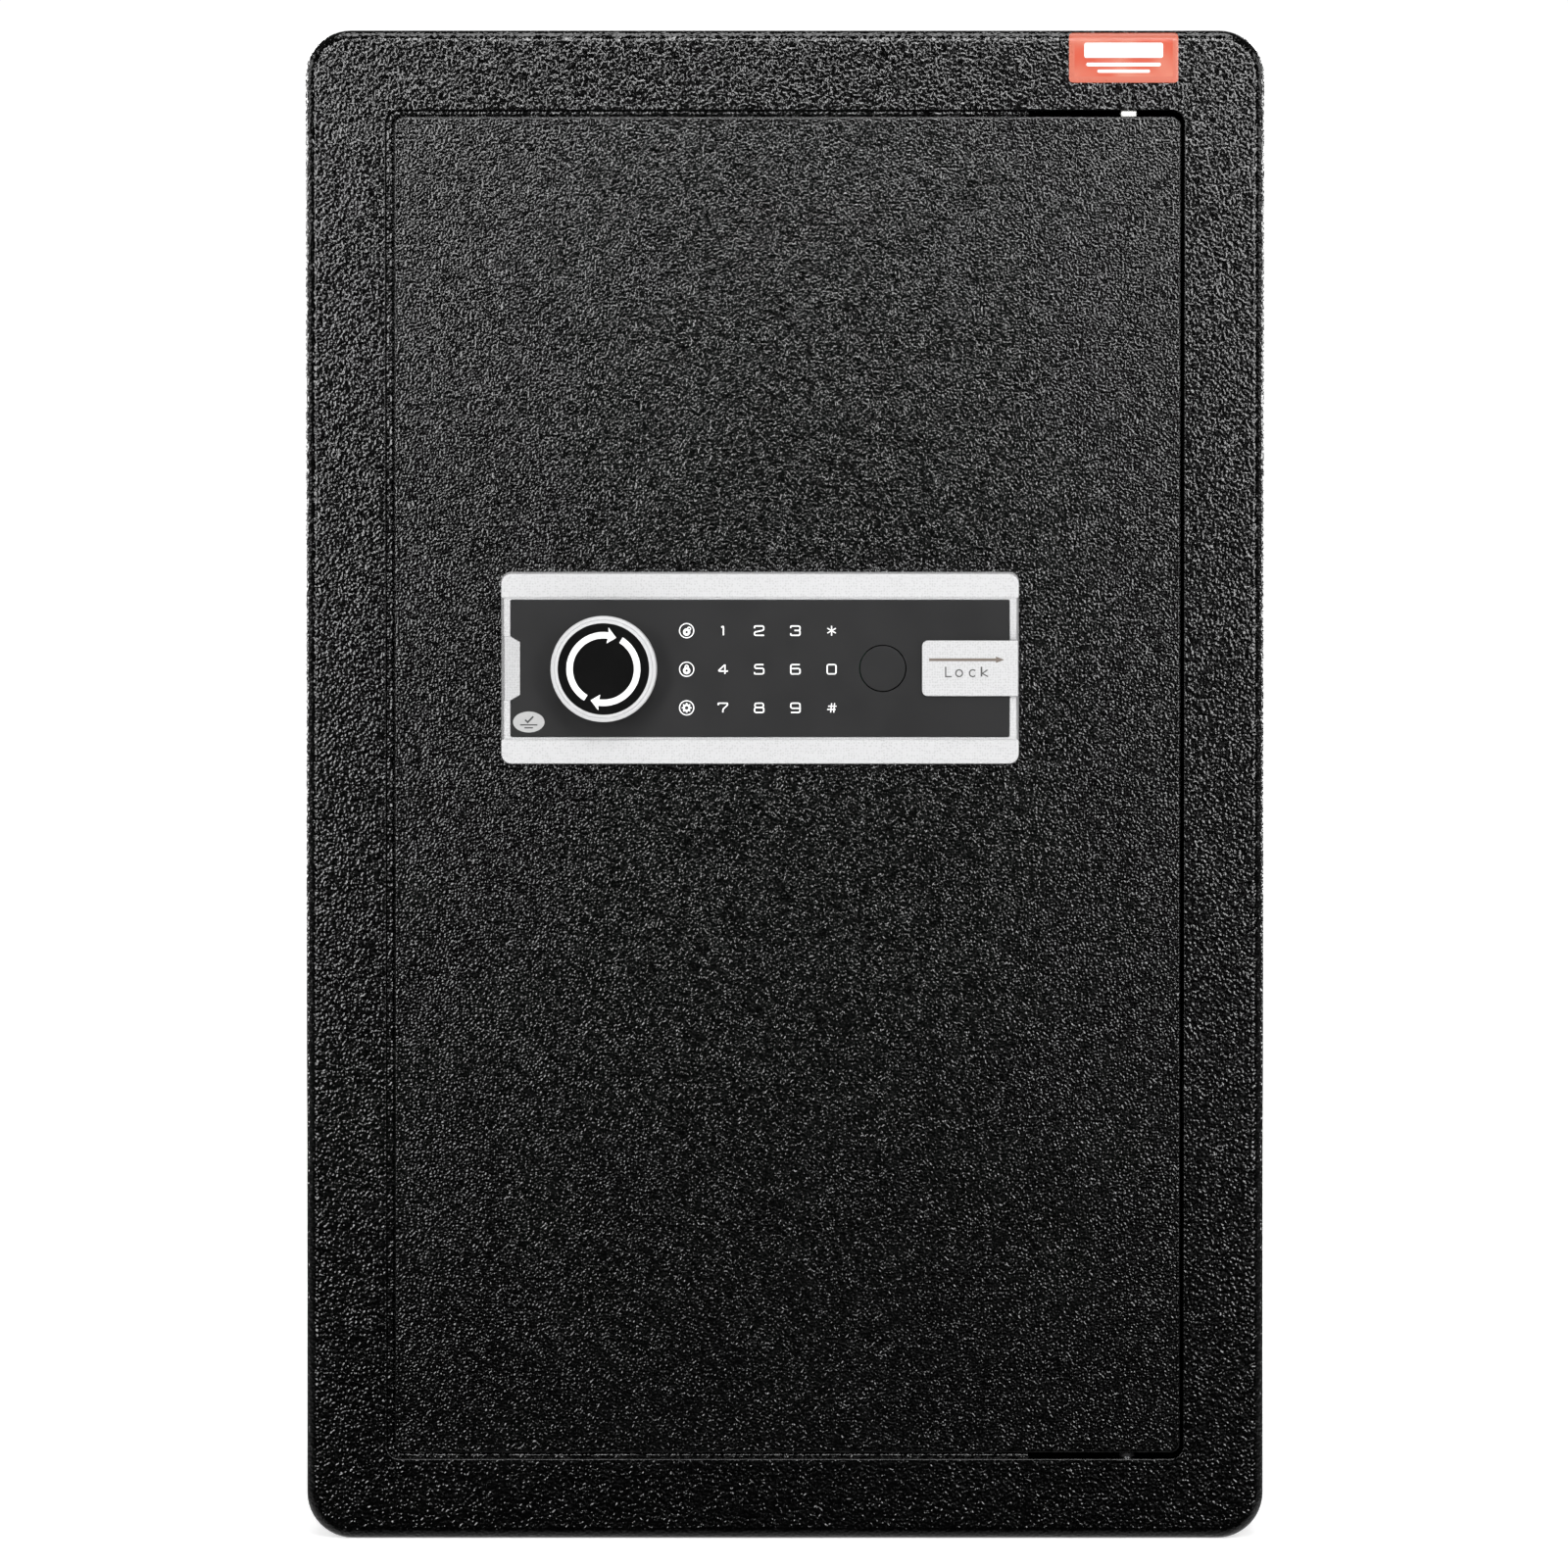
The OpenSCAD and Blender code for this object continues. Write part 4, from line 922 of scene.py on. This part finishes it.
def key_prints():
    """Printed figures, signs and ringed icons of the touch keys."""
    ring_r = 2.95 * MM
    reach = 3.2 * MM
    columns = 5
    first_x = legend_low.x + reach
    last_x = legend_high.x - 2.35 * MM
    top_z, bottom_z = legend_high.z - reach, legend_low.z + reach
    pitch_x = (last_x - first_x) / (columns - 1)
    pitch_z = (top_z - bottom_z) / 2
    front, back = legend_low.y + 0.1 * MM, legend_high.y + 0.1 * MM
    size, width = 1.93 * MM, 0.6 * MM
    bm = bmesh.new()
    for row, marks in enumerate(KEY_ROWS):
        z = top_z - row * pitch_z
        add_stroke(bm, circle(first_x, z, ring_r, 64), 0.42 * MM, front, back, closed=True)
        for column, mark in enumerate(marks):
            x = first_x + (column + 1) * pitch_x
            if mark == "*":
                for k in range(3):
                    a = math.radians(60 * k + 90)
                    dx, dz = 1.05 * size * math.cos(a), 1.05 * size * math.sin(a)
                    arm = [(x - dx, z - dz), (x + dx, z + dz)]
                    add_stroke(bm, arm, width * 0.8, front + k * layer, back)
            else:
                small = 0.75 if mark == "#" else 0.92
                add_figure(bm, mark, x, z, size, width * small, front, back)
    add_padlock(bm, first_x, top_z, 1.65 * MM, front, back, 40)
    add_padlock(bm, first_x, top_z - pitch_z, 1.65 * MM, front, back, 0)
    add_gear(bm, first_x, bottom_z, 1.6 * MM, front, back)
    place(finish_mesh("key_prints", bm, WHITE_INK), "door", "white_print", "key_legends")


def check_label():
    """Small oval sticker with a plain tick over two lines."""
    low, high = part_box("check_sticker")
    x, _, z = centre_of(low, high)
    bm = bmesh.new()
    oval = ellipse(x, z, (high.x - low.x) / 2, (high.z - low.z) / 2, 96)
    add_prism(bm, oval, low.y + 0.03 * MM, high.y + 0.02 * MM)
    place(finish_mesh("check_label", bm, STICKER), "door", "sticker", "check_sticker")
    bm = bmesh.new()
    front, back = low.y, low.y + 0.06 * MM
    tick = [(x - 1.5 * MM, z + 0.9 * MM), (x - 0.4 * MM, z - 0.1 * MM), (x + 1.9 * MM, z + 2.3 * MM)]
    add_stroke(bm, tick, 0.7 * MM, front, back)
    for dz, half in ((-1.2, 3.6), (-2.4, 1.8)):
        line = [(x - half * MM, z + dz * MM), (x + half * MM, z + dz * MM)]
        add_stroke(bm, line, 0.5 * MM, front, back)
    place(finish_mesh("check_label_print", bm, STICKER_INK), "door", "sticker")


def knob_pieces():
    """Knob: silver body with a two-tone chamfered ring, gloss black face and two curved arrows."""
    low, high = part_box("knob_ring")
    face = low.y
    base = high.y
    r = (high.x - low.x) / 2
    profile = [
        (5 * MM, base),
        (r - 1.2 * MM, base),
        (r - 0.35 * MM, base - 0.3 * MM),
        (r, base - 1.1 * MM),
        (r, face + 2.4 * MM),
        (r - 0.06 * MM, face + 1.3 * MM),
        (r - 0.22 * MM, face + 0.8 * MM),
        (r - 0.5 * MM, face + 0.55 * MM),
        (r - 1.5 * MM, face + 0.22 * MM),
        (r - 1.6 * MM, face + 0.5 * MM),
        (r - 1.8 * MM, face + 0.5 * MM),
        (r - 1.9 * MM, face + 0.1 * MM),
        (r - 2.9 * MM, face),
        (r - 3.05 * MM, face + 0.1 * MM),
        (r - 3.05 * MM, face + 1.4 * MM),
        (5 * MM, face + 1.4 * MM),
    ]
    sections = lathe_sections(knob_x, knob_z, profile, 144)
    ring = lofted("knob_ring_skin", sections, KNOB_SILVER, smooth_angle=24)
    place(ring, "knob", "knob_silver", "knob_ring")

    face_r = r - 3.07 * MM
    level = face + 0.5 * MM
    profile = [
        (face_r, level + 1.0 * MM),
        (face_r, level + 0.15 * MM),
        (face_r - 0.15 * MM, level),
        (face_r * 0.6, level + 0.05 * MM),
        (face_r * 0.1, level + 0.07 * MM),
    ]
    black_face = lofted("knob_face_skin", lathe_sections(knob_x, knob_z, profile, 128), BLACK_GLOSS)
    place(black_face, "knob", "knob_black", "knob_face")

    inner, outer, head = 12.65 * MM, 15.3 * MM, 3.3 * MM
    mid = (inner + outer) / 2
    front = level - 0.12 * MM
    bm = bmesh.new()
    for turn in (0, 180):
        band_start, band_end, tip = 238.6 + turn, 82 + turn, 67.7 + turn
        points = arc_points(knob_x, knob_z, outer, band_start, band_end, 60)
        for radius, angle in ((mid + head, band_end + 1), (mid, tip), (mid - head, band_end + 1)):
            a = math.radians(angle)
            points.append((knob_x + radius * math.cos(a), knob_z + radius * math.sin(a)))
        points += arc_points(knob_x, knob_z, inner, band_end, band_start, 60)
        add_prism(bm, points, front, level + 0.06 * MM)
    place(finish_mesh("knob_arrow_print", bm, WHITE_INK), "knob", "white_print", "knob_arrows")


def slide_cover():
    """Silver slide over the emergency lock, with its end lip, runners and print."""
    low, high, mid = cover_low, cover_high, cover_mid
    plate_t = 1.7 * MM
    radii = (0.3 * MM, 2.4 * MM, 2.4 * MM, 0.3 * MM)
    rect = (low.x, high.x - 0.5 * MM, mid - COVER_HALF, mid + COVER_HALF, radii)
    bm = bmesh.new()
    add_loft(bm, pillow_sections(rect, low.y, low.y + plate_t, 0.35 * MM, 4))
    lip = (high.x - 2 * MM, high.x, mid - COVER_HALF + 0.05 * MM, mid + COVER_HALF - 0.05 * MM, 0.2 * MM)
    lip_front = (high.x - 1.9 * MM, high.x - 0.75 * MM, lip[2] + 0.1 * MM, lip[3] - 0.1 * MM, 0.2 * MM)
    add_loft(bm, tapered(lip_front, lip, low.y + 0.3 * MM, high.y, 0.2 * MM))
    runner_back = low.y + 6.1 * MM
    hook_front = runner_back - 1.2 * MM
    for side in (-1, 1):
        runner, hook = (9.8 * MM, 0.8 * MM, low.y + plate_t), (10.65 * MM, 1.6 * MM, hook_front)
        for out, half, start in (runner, hook):
            z = mid + side * out
            add_block(bm, (low.x + 3 * MM, start, z - half), (high.x - 2 * MM, runner_back, z + half))
    cover = finish_mesh("slide_cover_skin", bm, SILVER)
    place(cover, "key_cover", "silver_plastic", "lock_cover")

    arrow_low, arrow_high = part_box("lock_cover_legend")
    z = (arrow_low.z + arrow_high.z) / 2
    front, back = low.y - 0.04 * MM, low.y + 0.05 * MM
    bm = bmesh.new()
    add_stroke(bm, [(arrow_low.x, z), (arrow_high.x - 3.3 * MM, z)], 1.15 * MM, front + layer, back)
    head_x, head_z = arrow_high.x - 3.5 * MM, 1.35 * MM
    head = [(head_x, z - head_z), (arrow_high.x, z), (head_x, z + head_z)]
    add_prism(bm, head, front, back)
    place(finish_mesh("slide_cover_arrow", bm, BROWN_INK), "key_cover", "grey_print", "lock_cover_legend")

    base_z = z - 7.0 * MM
    tall, short = 4.1 * MM, 2.8 * MM
    left = arrow_low.x + 6.9 * MM
    thin = 0.55 * MM
    ring_z = base_z + short / 2
    o_x, c_x, stem = left + 5.6 * MM, left + 11.3 * MM, left + 14.9 * MM
    bm = bmesh.new()
    add_stroke(bm, [(left, base_z + tall), (left, base_z), (left + 2.5 * MM, base_z)], thin, front, back)
    add_stroke(bm, circle(o_x, ring_z, short / 2, 32), thin, front, back, closed=True)
    add_stroke(bm, arc_points(c_x, ring_z, short / 2, 45, 315), thin, front, back)
    add_stroke(bm, [(stem, base_z + tall), (stem, base_z)], thin * 1.3, front, back)
    arm = [
        (stem + 2.5 * MM, base_z + short),
        (stem + 0.3 * MM, base_z + 1.3 * MM),
        (stem + 2.7 * MM, base_z),
    ]
    add_stroke(bm, arm, thin, front + layer, back)
    place(finish_mesh("slide_cover_word", bm, GREY_INK), "key_cover", "grey_print")


def power_cover():
    """Small cover of the emergency power socket: its outer part carries on the bezel's border."""
    face = bezel_low.y + bezel_step
    left = bezel_low.x + 1.75 * MM
    soft = 0.12 * MM
    outer = port_outline(left, 0)
    centre_x = (port_bend + port_high.x) / 2

    def drawn_in(amount):
        return [
            (x - amount if x > centre_x else x, z + amount * (1 if z < port_mid else -1))
            for x, z in outer
        ]

    bm = bmesh.new()
    add_loft(bm, [(outer, face + 1.5 * MM), (outer, face + soft), (drawn_in(soft), face)])
    wall = [
        (left + 0.1 * MM, face + 0.02 * MM),
        (port_low.x - 0.9 * MM, port_high.y),
        (left + 1.6 * MM, port_high.y),
    ]
    half = 13.3 * MM
    add_stack(bm, [(wall, port_mid + side * half) for side in (-1, 1)])
    place(finish_mesh("power_cover_skin", bm, SILVER_DIM), "power_cover", "silver_plastic", "port_cover")


# ------------------------------------------------------------------ inner pieces


def cells_in_box():
    """Four round cells with a dark sleeve, a copper-coloured band and steel ends."""
    low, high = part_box("batteries")
    count = 4
    pitch = (high.x - low.x + 0.3 * MM) / count
    r = (high.y - low.y) / 2
    y = (low.y + high.y) / 2
    steps = 48
    bm = bmesh.new()
    for k in range(count):
        x = low.x + r + k * pitch
        up = 1 if k % 2 == 0 else -1
        mid = (low.z + high.z) / 2
        half = (high.z - low.z) / 2
        profile = [
            (r * 0.55, -half, 2), (r * 0.8, -half + 0.3 * MM, 2), (r * 0.97, -half + 0.3 * MM, 0),
            (r, -half + 0.8 * MM, 0), (r, half * 0.35, 0),
            (r, half - 2.2 * MM, 1), (r * 0.97, half - 1.5 * MM, 1),
            (r * 0.7, half - 1.3 * MM, 2), (r * 0.38, half - 1.3 * MM, 2), (r * 0.36, half - 0.2 * MM, 2),
            (r * 0.3, half, 2),
        ]
        rings = [
            [bm.verts.new((px, py, mid + up * h)) for px, py in circle(x, y, radius, steps)]
            for radius, h, _ in profile
        ]
        for j, (a, b) in enumerate(zip(rings, rings[1:])):
            before = len(bm.faces)
            bridge(bm, a, b)
            bm.faces.ensure_lookup_table()
            for face in bm.faces[before:]:
                face.material_index = profile[j][2]
        for ring in (rings[0], rings[-1]):
            bm.faces.new(ring).material_index = 2
    piece = finish_mesh("cells_skin", bm, CELL_SLEEVE, CELL_BAND, ZINC)
    place(piece, "door", "cell_sleeve", "batteries")


KEPT = {
    "door_stop": (COAT, 0.6),
    "opening_ledge": (COAT, 0.5),
    "top_hinge_bracket": (INNER_COAT, 0.4),
    "bottom_hinge_bracket": (INNER_COAT, 0.4),
    "left_shelf_rail": (INNER_COAT, 0.3),
    "right_shelf_rail": (INNER_COAT, 0.3),
    "shelf": (INNER_COAT, 0.35),
    "door_casing": (INNER_COAT, 0.6),
    "door_back_cover": (INNER_COAT, 0.5),
    "top_hinge_pin": (ZINC, 0.2),
    "bottom_hinge_pin": (ZINC, 0.2),
    "bottom_hinge_bush": (BLACK_PLASTIC, 0.15),
    "hinge_blocks": (ZINC, 0.3),
    "cover_screws": (ZINC, 0.12),
    "guide_studs": (ZINC, 0.2),
    "bolt_sleeves": (BLACK_PLASTIC, 0.2),
    "circuit_board": (BOARD, 0.1),
    "spindle_bearing": (NYLON, 0.2),
    "solenoid_frame": (ZINC, 0.2),
    "solenoid_coil": (COIL, 0.4),
    "solenoid_spring": (ZINC, 0),
    "solenoid_plunger": (BOLT_STEEL, 0.3),
    "lock_barrel": (ZINC, 0.25),
    "power_socket": (ZINC, 0.2),
    "battery_box": (BLACK_PLASTIC, 0.3),
    "battery_lid": (BLACK_PLASTIC, 0.25),
    "reset_switch": (BLACK_PLASTIC, 0.3),
    "reset_button": (RED_PLASTIC, 0.4),
    "bolt_carriage": (ZINC, 0.3),
    "bolt_rack": (ZINC, 0.12),
    "upper_bolt": (BOLT_STEEL, 0.25),
    "middle_bolt": (BOLT_STEEL, 0.25),
    "lower_bolt": (BOLT_STEEL, 0.25),
    "bolt_screws": (ZINC, 0.3),
    "knob_spindle": (ZINC, 0.2),
    "pinion": (ZINC, 0.1),
    "spindle_clip": (ZINC, 0.1),
    "key_plug": (BRASS, 0.2),
}


# ------------------------------------------------------------------ stage, light, camera


def make_stage():
    """Round pale floor, wide enough for a view from any side. It glows by its own emission: not at all under the
    cabinet, a painted shadow, half grey near it, painted shade round the base, and white further out.
    """
    radius, rings, steps = 7.0, 6, 96
    bm = bmesh.new()
    centre = bm.verts.new((0, 0, 0))
    rows = []
    for j in range(1, rings + 1):
        r = radius * (j / rings) ** 2
        rows.append([bm.verts.new((x, y, 0)) for x, y in circle(0, 0, r, steps)])
    for i in range(steps):
        bm.faces.new((centre, rows[0][i], rows[0][(i + 1) % steps]))
    for a, b in zip(rows, rows[1:]):
        bridge(bm, a, b)
    paper = new_material("floor_paper", (0.9, 0.9, 0.9), 0.9)
    vary_color(paper, noise(paper, 3, 2.0), (0.89, 0.89, 0.89), (0.91, 0.91, 0.91))
    place_of = paper.node_tree.nodes.new("ShaderNodeTexCoord")
    reach = add_node(paper, "ShaderNodeVectorMath")
    reach.operation = "LENGTH"
    link(paper, place_of.outputs["Object"], reach.inputs[0])
    # Painted shade: the floor's glow is half grey near the cabinet and turns white between 0.3 m and 1.3 m out
    painted_shade_ramp = remap(paper, reach.outputs["Value"], 0.3, 1.3)
    dim, white = (0.5, 0.5, 0.5), (1, 1, 1)
    link(paper, blend_colors(paper, painted_shade_ramp, dim, white), shader_of(paper).inputs["Emission Color"])
    # Painted shadow: no glow under the cabinet's footprint, full glow from 0.18 m out
    under, open_floor = 0.165, 0.18
    strength = remap(paper, reach.outputs["Value"], under, open_floor, 0, 1.05)
    link(paper, strength, shader_of(paper).inputs["Emission Strength"])
    floor = finish_mesh("stage_floor", bm, paper)
    floor.visible_glossy = False


def area_light(name, place_at, look_at, size, power, color=(1, 1, 1)):
    data = bpy.data.lights.new(name, "AREA")
    data.shape = "RECTANGLE"
    data.size, data.size_y = size
    data.energy = power
    data.color = color
    lamp = bpy.data.objects.new(name, data)
    lamp.location = place_at
    lamp.visible_camera = False
    lamp.rotation_euler = (Vector(look_at) - Vector(place_at)).to_track_quat("-Z", "Y").to_euler()
    bpy.context.scene.collection.objects.link(lamp)


def make_world():
    """White where the camera looks straight at it. Everything else sees a dim fill in front of the
    cabinet, and beside and behind it a pale floor under walls that are darker upwards."""
    world = bpy.data.worlds.new("studio")
    world.use_nodes = True
    nodes, links = world.node_tree.nodes, world.node_tree.links
    direction = nodes.new("ShaderNodeTexCoord")
    axes = nodes.new("ShaderNodeSeparateXYZ")
    links.new(direction.outputs["Generated"], axes.inputs[0])

    def ramp(value, start, end, low, high):
        """Smooth step from low to high as a value goes from start to end."""
        node = nodes.new("ShaderNodeMapRange")
        node.interpolation_type = "SMOOTHSTEP"
        links.new(value, node.inputs["Value"])
        for socket, amount in zip(RANGE_SOCKETS, (start, end, low, high)):
            node.inputs[socket].default_value = amount
        return node.outputs["Result"]

    def combine(operation, a, *others):
        node = nodes.new("ShaderNodeMath")
        node.operation = operation
        for socket, value in zip(node.inputs, (a, *others)):
            links.new(value, socket)
        return node.outputs["Value"]

    fill, wall, ground = 0.006, 0.55, 0.2
    behind = combine("ADD", combine("ABSOLUTE", axes.outputs["X"]), axes.outputs["Y"])
    height = axes.outputs["Z"]
    walls = combine("MULTIPLY", ramp(behind, -0.4, 1.2, 0, wall), ramp(height, -0.45, 0.0, 1, 0.12))
    below = ramp(height, -0.95, -0.6, ground, fill)
    shade = nodes["Background"]
    links.new(combine("ADD", walls, below), shade.inputs["Strength"])
    backdrop = nodes.new("ShaderNodeBackground")
    backdrop.inputs["Color"].default_value = (1, 1, 1, 1)
    backdrop.inputs["Strength"].default_value = 1.05
    shade.inputs["Color"].default_value = (1, 1, 1, 1)
    path = nodes.new("ShaderNodeLightPath")
    mix = nodes.new("ShaderNodeMixShader")
    links.new(path.outputs["Is Camera Ray"], mix.inputs[0])
    links.new(shade.outputs["Background"], mix.inputs[1])
    links.new(backdrop.outputs["Background"], mix.inputs[2])
    links.new(mix.outputs["Shader"], nodes["World Output"].inputs["Surface"])
    bpy.context.scene.world = world


def make_lights():
    middle = (0, 0, MID_Z)
    area_light("left_softbox", (-1.0, -2.6, 0.85), middle, (0.5, 1.4), 19)
    area_light("right_softbox", (1.1, -2.6, 0.85), middle, (0.5, 1.4), 20)
    area_light("top_softbox", (0.15, -2.25, 1.7), middle, (1.2, 0.45), 20)
    area_light("key_strip", (0.25, -2.9, 1.45), middle, (1.1, 0.1), 4)
    area_light("left_panel", (-0.62, -3.2, 0.55), middle, (0.55, 1.4), 0.3)
    area_light("right_panel", (0.62, -3.2, 0.5), middle, (0.55, 1.4), 0.8)
    area_light("left_side_softbox", (-2.4, -0.5, 1.3), middle, (1.2, 1.5), 10)
    area_light("right_side_softbox", (2.4, -0.5, 1.3), middle, (1.2, 1.5), 9)
    area_light("overhead_softbox", (0.0, -0.6, 2.8), middle, (1.8, 1.2), 26)
    area_light("back_softbox", (0.6, 2.4, 1.9), middle, (1.6, 1.2), 4)
    for side, name in ((-1, "left"), (1, "right")):
        area_light(name + "_flank_softbox", (side * 2.4, 1.2, 0.9), middle, (0.5, 1.4), 22)
        area_light(name + "_rear_softbox", (side * 1.0, 2.6, 0.85), middle, (0.5, 1.4), 20)


def make_camera():
    """Long lens in front of the cabinet's middle, a touch higher and tilted down by as much."""
    distance = 3.0
    tilt = math.radians(1.1)
    seen = 0.6542
    data = bpy.data.cameras.new("front_camera")
    data.sensor_width = 36
    data.lens = data.sensor_width * distance / seen
    data.clip_end = 50
    camera = bpy.data.objects.new("front_camera", data)
    camera.location = (-0.4 * MM, FRONT - distance, MID_Z + 0.75 * MM + distance * math.tan(tilt))
    camera.rotation_euler = (math.radians(90) - tilt, 0, 0)
    bpy.context.scene.collection.objects.link(camera)
    bpy.context.scene.camera = camera


# ------------------------------------------------------------------ build

for node_name, (surface, edge_break) in KEPT.items():
    keep(node_name, surface, edge_break)
frame_skin()
cabinet_skin()
back_sheet()
felt_mat("floor_mat_felt", "floor_mat", "cabinet", 6 * MM, "floor_anchors")
felt_mat("shelf_mat_felt", "shelf_mat", "shelf", 5 * MM)
front_label()
door_skin()
hinge_bush("upper_bush_skin", "top_hinge_bush")
bezel_skin()
panel_skin()
key_prints()
check_label()
knob_pieces()
slide_cover()
power_cover()
cells_in_box()
make_stage()
make_world()
make_lights()
make_camera()
bpy.context.scene.view_settings.view_transform = "Standard"
